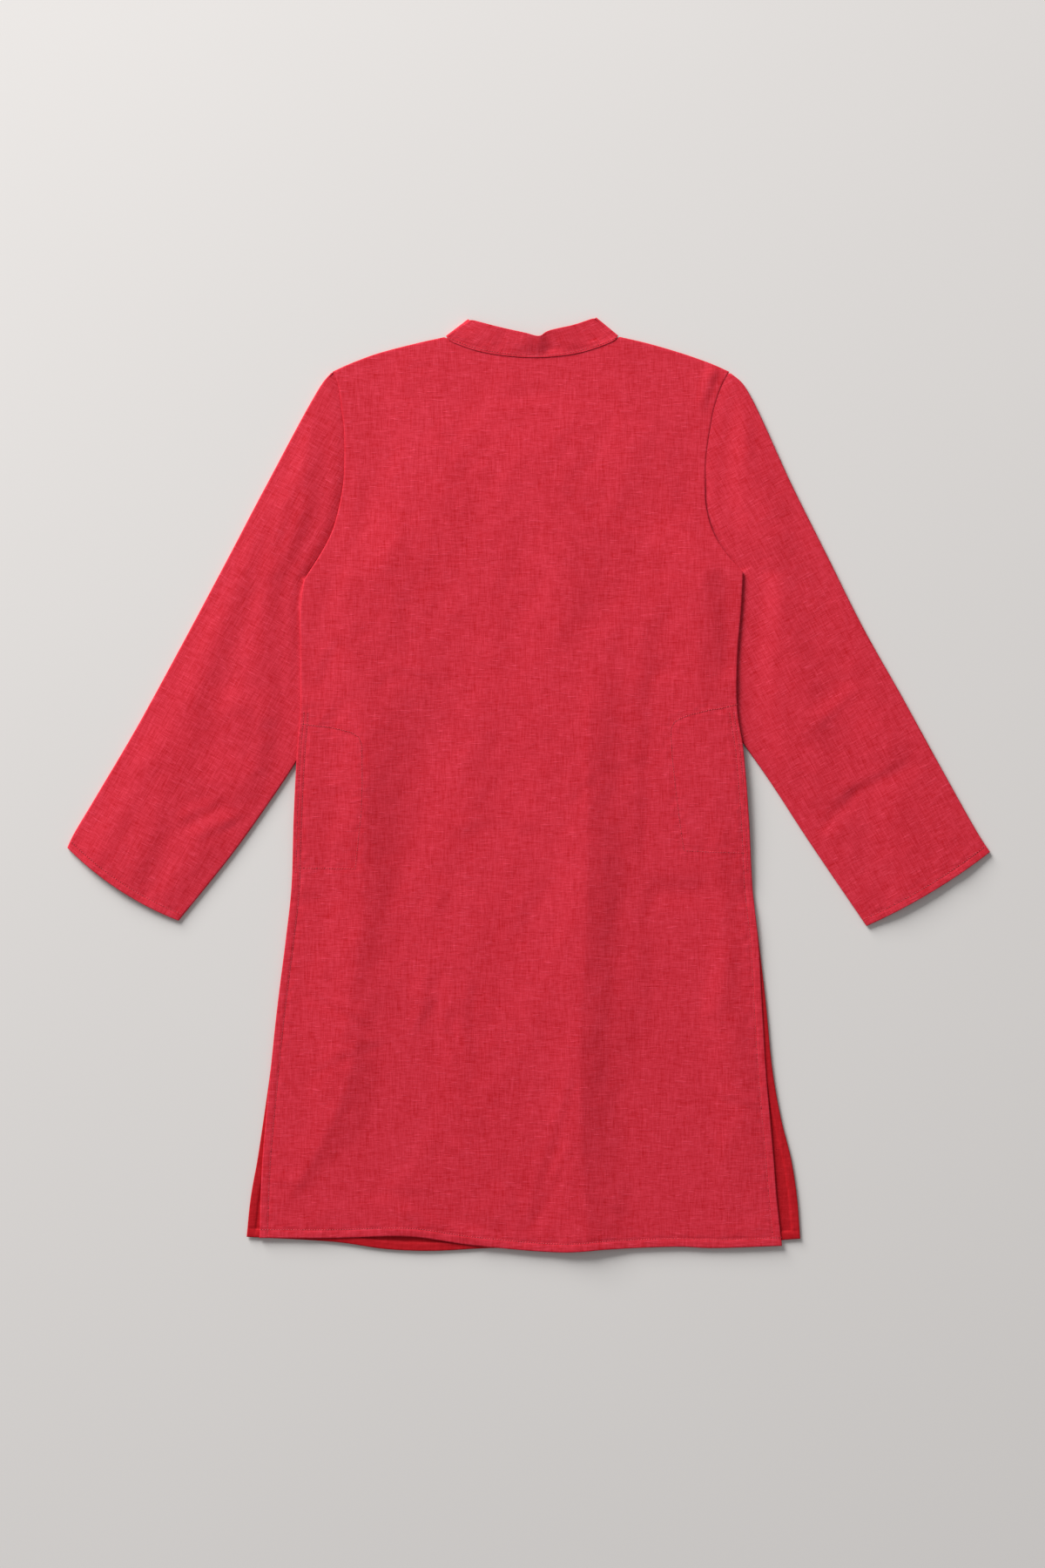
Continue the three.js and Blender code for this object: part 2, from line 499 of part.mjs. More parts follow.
// The collar is one band. Its front half lies on the surface inside the front neckline, its back
// half on top above the back neckline, and it is folded at either side of the neck.
function collarPiece() {
  const highs = stepsOf(divisions.collarHigh);
  const frontNeck = curveThrough(necklineRows.front);
  const backNeck = curveThrough(necklineRows.back);
  const upperEdge = curveThrough(collarTopRows);
  const bendRadius = bandCloth + collar.foldGap / 2;

  const ends = sides.map((side) => {
    const foot = flat(necklineRows.back.at(side === 'left' ? 0 : -1));
    const head = flat(collarTopRows.at(side === 'left' ? 0 : -1));
    const rising = head.clone().sub(foot).normalize();
    const outward = new THREE.Vector3(-rising.y, rising.x, 0).multiplyScalar(side === 'left' ? 1 : -1);
    const shift = outward.clone().multiplyScalar(-bendRadius);
    return { foot: foot.addScaledVector(rising, collar.seat).add(shift), head: head.add(shift), outward };
  });

  const frontHalf = (side) => {
    const end = ends[sides.indexOf(side)];
    const count = divisions.frontNeck / 2;
    return stepsOf(count, 0.5, side === 'left' ? 0 : 1).map((t, i) => {
      const tangent = frontNeck.getTangentAt(t);
      const inward = new THREE.Vector3(-tangent.y, tangent.x, 0);
      const foot = frontNeck.getPointAt(t).addScaledVector(inward, seamStep);
      const head = foot.clone().addScaledVector(inward, collar.height);
      if (i === count) return { foot: end.foot, head: end.head };
      const nearEnd = smooth(i / count) ** 2;
      const away = end.head.clone().sub(flat(collarTopRows.at(side === 'left' ? 0 : -1)));
      head.addScaledVector(away, nearEnd);
      if (i === 0) [foot, head].forEach((spot) => { spot.x += (side === 'left' ? -1 : 1) * collar.opening; });
      return { foot, head };
    });
  };

  const layFlat = ({ foot, head }) => highs.map((h) => {
    const spot = foot.clone().lerp(head, h);
    return [raised(spot, 0), raised(spot, bandCloth)];
  });
  const bend = (end, angle) => highs.map((h) => {
    const middle = end.foot.clone().lerp(end.head, h);
    return [bendRadius, bendRadius - bandCloth].map((radius) => raised(
      middle.clone().addScaledVector(end.outward, radius * Math.cos(angle)),
      bendRadius + radius * Math.sin(angle)));
  });
  const standing = (t) => highs.map((h) => {
    const foot = backNeck.getPointAt(t);
    const low = t === 0 || t === 1 ? ends[t].foot : foot.clone().setY(foot.y + seamStep);
    const high = t === 0 || t === 1 ? ends[t].head : upperEdge.getPointAt(t);
    const spot = low.clone().lerp(high, h);
    const lift = bandCloth + collar.foldGap + collar.stand * h * Math.sin(Math.PI * t) ** 2;
    return [raised(spot, lift + bandCloth), raised(spot, lift)];
  });

  const turn = [-Math.PI / 4, 0, Math.PI / 4];
  const stations = [
    ...frontHalf('left').map(layFlat),
    ...turn.map((angle) => bend(ends[0], angle)),
    ...stepsOf(divisions.collarBack).map(standing),
    ...turn.toReversed().map((angle) => bend(ends[1], angle)),
    ...frontHalf('right').toReversed().map(layFlat),
  ];
  const surface = (side) => stations.map((station) => station.map((pair) => pair[side]));
  return wall(surface(0), surface(1));
}

function placketPiece() {
  const across = stepsOf(divisions.placketAcross, placket.centre - placket.width / 2,
    placket.centre + placket.width / 2);
  const down = stepsOf(divisions.placketLong, placket.top, placket.bottom);
  const sheet = (lift) => down.map((y) => across.map((x) => (
    new THREE.Vector3(x, y, buttonRise(x, y) + lift))));
  return wall(sheet(bandCloth), sheet(0));
}

// A round button with a softened rim, lying face down
function buttonPiece(y) {
  const { radius, thick, edge } = button;
  const profile = [[0, 0], [radius - edge, 0], [radius, edge], [radius, thick - edge],
    [radius - edge, thick], [0, thick]].map(([r, z]) => new THREE.Vector2(r, z));
  const disc = new THREE.LatheGeometry(profile, 20).rotateX(Math.PI / 2);
  const holes = stepsOf(button.holes).slice(1).map((turn) => {
    const [cx, cy] = [Math.cos(2 * Math.PI * turn), Math.sin(2 * Math.PI * turn)];
    const hole = new THREE.CylinderGeometry(button.holeRadius, button.holeRadius, 3 * thick, 8);
    return hole.rotateX(Math.PI / 2).translate(cx * button.holeCircle, cy * button.holeCircle, 0);
  });
  const drilled = holes.reduce((solid, hole) => solid.subtract(toSolid(hole)), toSolid(disc));
  return toGeometry(drilled).translate(placket.centre, y, 0);
}

// The kurta

const kurta = new THREE.Group();

function addPiece(name, geometry, finish) {
  geometry.computeVertexNormals();
  const mesh = new THREE.Mesh(geometry, new THREE.MeshStandardMaterial(finish));
  mesh.name = name;
  kurta.add(mesh);
}

addPiece('front', frontPanel(), linenRed);
addPiece('back', backPanel(), linenRed);
for (const side of sides) {
  addPiece(`sleeve_${side}`, sleevePiece(side), linenRed);
  addPiece(`pocket_${side}`, pocketBagPiece(side), linenRed);
}
addPiece('collar', collarPiece(), linenRed);
addPiece('placket', placketPiece(), linenRed);
buttonPlaces.forEach((y, i) => addPiece(`button_${i + 1}`, buttonPiece(y), buttonRed));

export default kurta;
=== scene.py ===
# A child's linen kurta laid flat on its front, back side up: panels, sleeves, collar, placket,
# pocket bags, buttons and stitching. Tables and sizes are in millimetres, meshes in metres.
import bmesh
import bpy
import math
import numpy as np
from mathutils.bvhtree import BVHTree
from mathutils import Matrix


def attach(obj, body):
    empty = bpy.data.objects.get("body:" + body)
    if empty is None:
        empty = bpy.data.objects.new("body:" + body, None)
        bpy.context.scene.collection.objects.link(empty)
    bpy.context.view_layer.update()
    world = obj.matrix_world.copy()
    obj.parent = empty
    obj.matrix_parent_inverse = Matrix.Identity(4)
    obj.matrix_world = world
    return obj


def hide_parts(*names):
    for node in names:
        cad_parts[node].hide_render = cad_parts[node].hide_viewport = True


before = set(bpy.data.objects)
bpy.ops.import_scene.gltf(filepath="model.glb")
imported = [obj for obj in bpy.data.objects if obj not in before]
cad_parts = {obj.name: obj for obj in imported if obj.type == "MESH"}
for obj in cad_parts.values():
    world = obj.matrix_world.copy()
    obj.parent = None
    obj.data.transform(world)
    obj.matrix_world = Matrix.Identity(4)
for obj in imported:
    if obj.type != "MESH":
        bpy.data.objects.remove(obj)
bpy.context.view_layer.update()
mm = 0.001


# plan of the garment, as chalked on the table

cloth = 1.0         # height that a layer takes up in the pile
bandCloth = 1.4     # the same for collar and placket, which are doubled
seamGap = 0.3

# height, armhole on the left, armhole on the right
armholeRows = [
    (336.4, -160.0, 163.6),
    (326.0, -155.5, 157.8),
    (308.0, -152.9, 151.5),
    (290.0, -150.7, 148.0),
    (268.0, -150.2, 144.8),
    (246.0, -151.2, 144.1),
    (226.0, -154.6, 144.9),
    (206.0, -160.3, 150.4),
    (189.0, -168.9, 160.4),
]
underarm = {"left": (-183.2, 166.5), "right": (174.7, 172.9)}

# height, then back left, back right, front left and front right edges
bodyRows = [
    (146, -186.0, 173.3, -186.0, 173.3),
    (100, -186.0, 169.8, -186.0, 169.8),
    (60, -186.0, 170.0, -186.0, 170.0),
    (30, -188.5, 174.8, -188.5, 174.8),
    (-28, -191.5, 179.6, -191.5, 179.6),
    (-84, -193.4, 182.6, -193.4, 182.6),
    (-127, -198.1, 187.2, -198.1, 187.6),
    (-181, -204.9, 190.4, -204.8, 193.8),
    (-233, -210.4, 193.5, -210.6, 198.9),
    (-273, -214.2, 197.0, -216.2, 206.0),
    (-306, -217.0, 199.9, -221.2, 214.2),
    (-337, -218.5, 202.3, -226.7, 219.0),
]
bodyColumn = {("back", "left"): 1, ("back", "right"): 2, ("front", "left"): 3, ("front", "right"): 4}

hemLine = {
    "back": [(-219.4, -369.6), (-159, -369.6), (-97, -368.5), (-48, -375.2), (27, -381.2), (66, -378.8),
             (123, -376.8), (149, -377.8), (206.6, -376.0)],
    "front": [(-230.0, -368.8), (-156, -373.1), (-116, -378.8), (-78, -380.2), (-32, -378.0), (40, -378.4),
              (130, -376.4), (221.5, -370.3)],
}
shoulderLine = {
    "left": [(-68.9, 364.6), (-91, 359.7), (-123.5, 351.2), (-146.3, 342.7), (-160.0, 336.4)],
    "right": [(74.5, 364.8), (96.6, 359.7), (125.7, 351.2), (149.8, 342.6), (163.6, 336.4)],
}
neckline = {
    "back": [(-68.9, 364.6), (-43.3, 355.2), (-16.3, 350.5), (11.7, 349.6), (36.6, 352.2), (55.2, 357.2),
             (74.5, 364.8)],
    "front": [(-68.9, 364.6), (-49.5, 330.5), (-26.5, 307.5), (3.6, 300.2), (33.5, 307.5), (55.5, 330.5),
              (74.5, 364.8)],
}
collarTop = [(-49.2, 379.5), (-26.3, 373.4), (-3.0, 368.0), (8.9, 365.4), (14.9, 369.2), (36.6, 374.6),
             (55.0, 380.9)]

sleeveCut = {
    "left": dict(
        outer=[(-161.0, 335.6), (-168.3, 327), (-215.1, 241.8), (-244.9, 185), (-290.4, 99.8), (-321.6, 43),
               (-355.2, -13.8), (-371.6, -41.5), (-376.3, -51.5)],
        inner=[(-183.9, 165.8), (-187.6, 150), (-187.0, 139), (-177.0, 113), (-169.0, 86), (-170.0, 62),
               (-178.0, 38), (-188.4, 20), (-210.9, -13.8), (-241.4, -56.4), (-285.4, -111.1)],
        cuffBulge=5.6, armholeShare=0.37, outward=-1),
    "right": dict(
        outer=[(165.4, 334.9), (175.4, 325.8), (215.8, 241.8), (244.2, 185), (272.6, 128.2), (304.6, 71.4),
               (335.8, 14.6), (367.8, -42.2), (376.3, -55)],
        inner=[(175.4, 172.2), (176.0, 156), (174.2, 143), (164.0, 118), (155.5, 94), (155.5, 70), (164.0, 48),
               (175.2, 33), (198.1, 0.4), (225.8, -42.2), (275.5, -115.4)],
        cuffBulge=3.4, armholeShare=0.34, outward=1),
}

# height at the side seam, then the far edge of the pocket bag level with it
pocketCut = {
    "left": [(48.4, -146.0, 41.8), (41, -138.2, 37.4), (31, -135.6, 30.5), (-5, -135.6, -5),
             (-36, -137.7, -36), (-68.2, -141.3, -67.8)],
    "right": [(64.8, 125.0, 55.0), (56, 117.0, 50.5), (46, 115.6, 42), (12, 118.8, 11), (-22, 122.6, -22),
              (-55.4, 126.4, -53.8)],
}

slitTop = -97
tuck = dict(rise=2.2, full=26, gone=120, top=240, ramp=78, bottom=10, fall=120)
lap = dict(top=262, full=236, bottom=60, fade=40, high=0.4, reach=26, clear=2)
sleeveLoft = dict(fold=2.6, high=1.7, edge=30, clear=12, beside=22, seam=12)
collarBand = dict(height=25, foldGap=0.6, stand=1.9, seat=1.8, opening=1.2, reach=74, fade=26, below=40)
placket = dict(centre=3.6, width=26, top=300.1, bottom=70, fade=20, lift=1.25, lifted=0.9, hem=4.5, edge=4,
               start=6, runOut=24, clear=4)
buttonPlaces = [270, 205, 140]
buttonHump = dict(high=2.3, top=7, foot=30)
pocketSpace = dict(inset=1.5, room=1.4, margin=16, fade=24)
hemSpace = dict(room=1.1, above=20, ramp=30)

# large folds of the back: x, y of both ends, width, height. A negative height is a trough.
backFolds = [
    (30, 240, 30, -372, 40, 0.8),
    (78, -60, 76, -372, 54, -1.1),
    (-36, 320, -26, 90, 46, -0.6),
    (140, 300, 132, 60, 40, 0.5),
    (-118, -60, -128, -205, 46, -1.2),
    (-128, -205, -178, -316, 42, -1.0),
    (-204, -324, -98, -324, 34, 0.9),
    (-50, -210, -20, -280, 36, -0.7),
    (36, -245, 4, -350, 36, -0.7),
    (-62, -300, -33, -344, 34, 0.7),
    (112, -256, 182, -262, 34, -0.8),
    (118, -192, 138, -214, 32, 0.7),
]
sleeveFolds = [
    (-218, 186, -312, -86, 30, -0.7),
    (-229, -22, -262, -14, 26, -0.6),
    (-196, 52, -236, 66, 28, 0.6),
    (208, 212, 238, 70, 30, -0.7),
    (238, 70, 270, -72, 28, -0.6),
    (226, -36, 310, 16, 26, -0.7),
    (236, 50, 262, 70, 26, 0.5),
]


# drafting tools

def smooth(t):
    t = np.clip(t, 0, 1)
    return t * t * (3 - 2 * t)


def mix(a, b, t):
    return a + (b - a) * t


def curveThrough(points, stepsPerSpan=60):
    # a smooth line through chalk marks, read by its length from 0 to 1
    p = np.asarray(points, float)
    p = np.vstack([2 * p[0] - p[1], p, 2 * p[-1] - p[-2]])
    t = np.linspace(0, 1, stepsPerSpan, endpoint=False)[:, None]
    dense = []
    for a, b, c, d in zip(p, p[1:], p[2:], p[3:]):
        ab, bc, cd = (np.linalg.norm(v) ** 0.5 for v in (b - a, c - b, d - c))
        leave = ((b - a) / ab - (c - a) / (ab + bc) + (c - b) / bc) * bc
        arrive = ((c - b) / bc - (d - b) / (bc + cd) + (d - c) / cd) * bc
        dense.append((2 * t**3 - 3 * t**2 + 1) * b + (t**3 - 2 * t**2 + t) * leave
                     + (3 * t**2 - 2 * t**3) * c + (t**3 - t**2) * arrive)
    dense = np.vstack(dense + [p[-2:-1]])
    run = np.concatenate([[0], np.cumsum(np.linalg.norm(np.diff(dense, axis=0), axis=1))])

    def at(t):
        s = np.clip(np.asarray(t, float), 0, 1) * run[-1]
        return np.stack([np.interp(s, run, dense[:, k]) for k in range(2)], axis=-1)

    at.length = run[-1]
    return at


def chain(*pieces):
    # several lines end to end, each with its share of the range 0 to 1
    def at(t):
        t = np.asarray(t, float)
        spots = np.zeros(t.shape + (2,))
        start = 0
        for k, (share, curve) in enumerate(pieces):
            last = k == len(pieces) - 1
            mine = (t >= start - 1e-9) if last else (t >= start - 1e-9) & (t < start + share)
            spots[mine] = curve((t[mine] - start) / share)
            start += share
        return spots
    return at


def fillBetween(top, bottom, left, right, across, down):
    u, v = across[None, :, None], down[:, None, None]
    t, b, l, r = top(across)[None], bottom(across)[None], left(down)[:, None], right(down)[:, None]
    spots = (1 - v) * t + v * b + (1 - u) * l + u * r
    return spots - ((1 - u) * (1 - v) * t[:, :1] + u * (1 - v) * t[:, -1:]
                    + (1 - u) * v * b[:, :1] + u * v * b[:, -1:])


def foldsAt(folds, x, y):
    total = np.zeros_like(x)
    for x0, y0, x1, y1, wide, high in folds:
        dx, dy = x1 - x0, y1 - y0
        along = np.clip(((x - x0) * dx + (y - y0) * dy) / (dx * dx + dy * dy), 0, 1)
        away = np.hypot(x - x0 - along * dx, y - y0 - along * dy)
        total += high * np.exp(-((2.4 * away / wide) ** 2))
    return total


def rumple(x, y, size, seed, lean=0.0, spread=math.pi, count=20):
    # uneven waves about as long as size, mostly crossing the direction lean
    draw = np.random.default_rng(seed)
    total = np.zeros_like(x)
    for _ in range(count):
        angle = lean + draw.uniform(-0.5, 0.5) * spread
        wave = 2 * math.pi / (size * draw.uniform(0.65, 1.6))
        total += np.sin(wave * (x * math.cos(angle) + y * math.sin(angle)) + draw.uniform(0, 2 * math.pi))
    return total / math.sqrt(count / 2)


def sideLine(panel, side):
    column = 1 if side == "left" else 2
    armhole = [(row[column], row[0]) for row in armholeRows] + [underarm[side]]
    corner = hemLine[panel][0 if side == "left" else -1]
    k = bodyColumn[panel, side]
    return armhole, [underarm[side]] + [(row[k], row[0]) for row in bodyRows] + [corner]


edgeTable = {}
for side in ("left", "right"):
    armholePart, belowPart = sideLine("front", side)
    edgeTable[side] = np.array(armholePart + belowPart[1:])[::-1]
topTable = np.array(shoulderLine["left"][::-1] + neckline["back"][1:] + shoulderLine["right"][1:])


def edgeAt(side, y):
    return np.interp(y, edgeTable[side][:, 1], edgeTable[side][:, 0])


def insideSides(x, y):
    return np.minimum(x - edgeAt("left", y), edgeAt("right", y) - x)


def belowTop(x, y):
    return np.interp(x, topTable[:, 0], topTable[:, 1]) - y


# heights of the layers

def tuckRise(x, y):
    beside = 1 - smooth((insideSides(x, y) - tuck["full"]) / (tuck["gone"] - tuck["full"]))
    below = smooth((tuck["top"] - y) / tuck["ramp"])
    above = smooth((y - tuck["bottom"] + tuck["fall"]) / tuck["fall"])
    return tuck["rise"] * beside * below * above


def buttonRise(x, y):
    away = np.min([np.hypot(x - placket["centre"], y - place) for place in buttonPlaces], axis=0)
    slope = (away - buttonHump["top"]) / (buttonHump["foot"] - buttonHump["top"])
    return buttonHump["high"] * (1 - smooth(slope))


def pocketRoom(x, y):
    room = np.zeros_like(x)
    for side, rows in pocketCut.items():
        far = min(abs(row[1]) for row in rows)
        sign = -1 if side == "left" else 1
        away = np.maximum.reduce([far - sign * x, y - rows[0][0], rows[-1][0] - y, np.zeros_like(x)])
        share = 1 - smooth((away - pocketSpace["margin"]) / pocketSpace["fade"])
        room = np.maximum(room, pocketSpace["room"] * share)
    return room


def hemRoom(y):
    return hemSpace["room"] * smooth((slitTop + hemSpace["above"] - y) / hemSpace["ramp"])


def collarRoom(x, y):
    beside = 1 - smooth((np.abs(x - placket["centre"]) - collarBand["reach"]) / collarBand["fade"])
    below = 1 - smooth((placket["top"] - y) / collarBand["below"])
    return (bandCloth + collarBand["foldGap"] - cloth - seamGap) * beside * below


def placketRoom(x, y):
    stripe = 1 - smooth((np.abs(x - placket["centre"]) - placket["width"] / 2) / placket["fade"])
    runOut = placket["runOut"]
    ends = smooth((y - placket["bottom"] + runOut) / runOut)
    ends = ends * (1 - smooth((y - placket["top"] - placket["clear"]) / runOut))
    return (bandCloth - cloth + placket["lifted"] * placket["lift"]) * stripe * ends


def frontUnder(x, y):
    # the front lies over the placket strip
    beside = 1 - smooth((np.abs(x - placket["centre"]) - placket["width"] / 2) / placket["edge"])
    over = placket["lift"] * beside * smooth((y - placket["bottom"] + placket["start"]) / placket["start"])
    return tuckRise(x, y) + buttonRise(x, y) + over
def sleeveUnder(x, y, fromFold, fromBody, atArmhole):
    edgeGap = sleeveLoft["fold"] - 2 * cloth
    gap = mix(seamGap, edgeGap, smooth(fromBody / sleeveLoft["seam"])) if atArmhole else edgeGap
    free = smooth((-insideSides(x, y) - sleeveLoft["clear"]) / sleeveLoft["beside"])
    share = smooth(fromFold / sleeveLoft["edge"]) * smooth(fromBody / sleeveLoft["edge"]) * free
    return cloth + gap + share * (sleeveLoft["high"] + foldsAt(sleeveFolds, x, y))


# making meshes

def place(name, mesh):
    piece = bpy.data.objects.new(name, mesh)
    bpy.context.scene.collection.objects.link(piece)
    return piece


def shell(name, outer, inner, plan, joinedFrom=None):
    # closed cloth between two grids of spots. From row joinedFrom on, the first and last column are one.
    rows, columns = outer.shape[:2]
    spots = np.concatenate([outer.reshape(-1, 3), inner.reshape(-1, 3)]) * mm
    planSpots = np.concatenate([plan.reshape(-1, 2)] * 2) * mm
    number = np.arange(2 * rows * columns).reshape(2, rows, columns)
    out, into = number
    i, j = (a.ravel() for a in np.meshgrid(np.arange(rows - 1), np.arange(columns - 1), indexing="ij"))
    k = np.arange(rows - 1 if joinedFrom is None else joinedFrom)
    c = np.arange(columns - 1)
    quads = np.concatenate([np.stack(q, axis=1) for q in (
        (out[i, j], out[i + 1, j], out[i + 1, j + 1], out[i, j + 1]),
        (into[i, j], into[i, j + 1], into[i + 1, j + 1], into[i + 1, j]),
        (out[k, 0], into[k, 0], into[k + 1, 0], out[k + 1, 0]),
        (out[k, -1], out[k + 1, -1], into[k + 1, -1], into[k, -1]),
        (out[0, c], out[0, c + 1], into[0, c + 1], into[0, c]),
        (out[-1, c], into[-1, c], into[-1, c + 1], out[-1, c + 1]))])
    weld = np.arange(len(spots))
    if joinedFrom is not None:
        weld[number[:, joinedFrom:, -1]] = number[:, joinedFrom:, 0]
    a, b, c, d = (spots[weld[quads[:, n]]] for n in range(4))
    volume = np.sum(np.cross(b - a, c - a) * a) + np.sum(np.cross(c - a, d - a) * a)
    if volume < 0:
        quads = quads[:, ::-1]
    corners = weld[quads]
    used, corners = np.unique(corners, return_inverse=True)
    mesh = bpy.data.meshes.new(name)
    mesh.vertices.add(len(used))
    mesh.vertices.foreach_set("co", spots[used].ravel())
    mesh.loops.add(quads.size)
    mesh.loops.foreach_set("vertex_index", corners.ravel())
    mesh.polygons.add(len(quads))
    mesh.polygons.foreach_set("loop_start", np.arange(0, quads.size, 4))
    mesh.polygons.foreach_set("use_smooth", np.ones(len(quads), bool))
    mesh.uv_layers.new(name="clothPlan").data.foreach_set("uv", planSpots[quads.ravel()].ravel())
    mesh.update(calc_edges=True)
    mesh.validate()
    return place(name, mesh)


def lift(spots, z):
    return np.concatenate([spots, z[..., None]], axis=-1)


def linesAcross(length, spacing, edge, farEdge):
    # where the grid has its lines: close together near both edges, even between them
    near, far = np.array(edge) / length, 1 - np.array(farEdge)[::-1] / length
    count = max(2, round(length * (far[0] - near[-1]) / spacing))
    return np.concatenate([near, np.linspace(near[-1], far[0], count + 1)[1:-1], far])


def awayFrom(plan, edge):
    return np.linalg.norm(plan - edge, axis=-1)


def dress(piece, node, material):
    piece.data.materials.append(material)
    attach(piece, "root")
    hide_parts(node)
    return piece


def addSeamDistance(piece, distances):
    # how far each point of both faces is from the nearest row of stitches, in metres
    values = piece.data.attributes.new("fromSeam", "FLOAT", "POINT")
    values.data.foreach_set("value", (np.concatenate([distances.ravel()] * 2) * mm).ravel())


# weave, thread and paper

weaveLook = dict(threadPitch=0.00058, streaks=0.85, slubs=0.45, pair=2.3, pairShare=0.35, yarnMean=0.675,
                 depth=0.00022, strength=0.8)
# drift of the tone along pairs and along single threads: waves per metre, and a shift of the draw
yarnWaves = dict(warp=((30, 0.37), (75, 0.0)), weft=((45, 57.0), (95, 91.0)), slub=(88, 301.0, 1))
slubRange = {"From Min": 0.62, "From Max": 0.74, "To Min": 0.0, "To Max": 1.0}
# tone of even cloth, and what the raised threads and the cloudiness add to it; the lighter thread crests are a
# painted highlight
toneLook = dict(even=0.40, raised=0.25, cloud=0.16, most=1.25)
puckerLook = dict(depth=0.0006, strength=1.0, detail=0.8)
linenLook = {"Sheen Weight": 0.02, "Sheen Roughness": 0.45, "Sheen Tint": (1.0, 0.5, 0.55, 1),
             "Specular IOR Level": 0.12}
# the linen's own tones for the pieces on top; the front panel, placket and pocket bags lie below them and get a
# darker copy of the same linen, which is painted shade
upperTones = ((0.84, 0.055, 0.098, 1), (0.51, 0.001, 0.006, 1))
shadeDarkenedTones = ((0.60, 0.014, 0.026, 1), (0.42, 0.001, 0.005, 1))
linenTones = dict(back=upperTones, front=shadeDarkenedTones, sleeve=upperTones, collar=upperTones)


def nodeGroup(name, inputs, outputs):
    group = bpy.data.node_groups.new(name, "ShaderNodeTree")
    for label, kind, value in inputs:
        socket = group.interface.new_socket(label, in_out="INPUT", socket_type="NodeSocket" + kind)
        if value is not None:
            socket.default_value = value
    for label, kind in outputs:
        group.interface.new_socket(label, in_out="OUTPUT", socket_type="NodeSocket" + kind)
    return group, group.nodes.new("NodeGroupInput"), group.nodes.new("NodeGroupOutput")


def addNode(tree, kind, links={}, **values):
    # a node with its named inputs linked to sockets or set to values
    node = tree.nodes.new("ShaderNode" + kind)
    for label, value in values.items():
        node.inputs[label].default_value = value
    for label, socket in links.items():
        tree.links.new(socket, node.inputs[label])
    return node


def sums(tree, operation, *values):
    # one step of arithmetic; values are numbers or sockets
    node = tree.nodes.new("ShaderNodeMath")
    node.operation = operation
    for k, value in enumerate(values):
        if isinstance(value, (int, float)):
            node.inputs[k].default_value = value
        else:
            tree.links.new(value, node.inputs[k])
    return node.outputs[0]


def unevenYarn(tree, across, along, pitch, waves, shift, detail=2):
    # each thread has its own tone, which drifts along its length; waves is how often per metre
    farApart, farAlong = 413.0, 977.0       # keep the threads' drifts unlike each other
    index = sums(tree, "FLOOR", sums(tree, "ADD", sums(tree, "DIVIDE", across, pitch), shift))
    own = tree.nodes.new("ShaderNodeTexWhiteNoise")
    own.noise_dimensions = "1D"
    tree.links.new(index, own.inputs["W"])
    thread = own.outputs["Value"]
    drift = sums(tree, "MULTIPLY_ADD", along, float(waves), sums(tree, "MULTIPLY", thread, farAlong))
    spot = addNode(tree, "CombineXYZ", {"X": sums(tree, "MULTIPLY", thread, farApart), "Y": drift})
    noise = addNode(tree, "TexNoise", {"Vector": spot.outputs[0]}, Scale=1, Detail=detail, Roughness=0.6)
    return noise.outputs["Fac"]


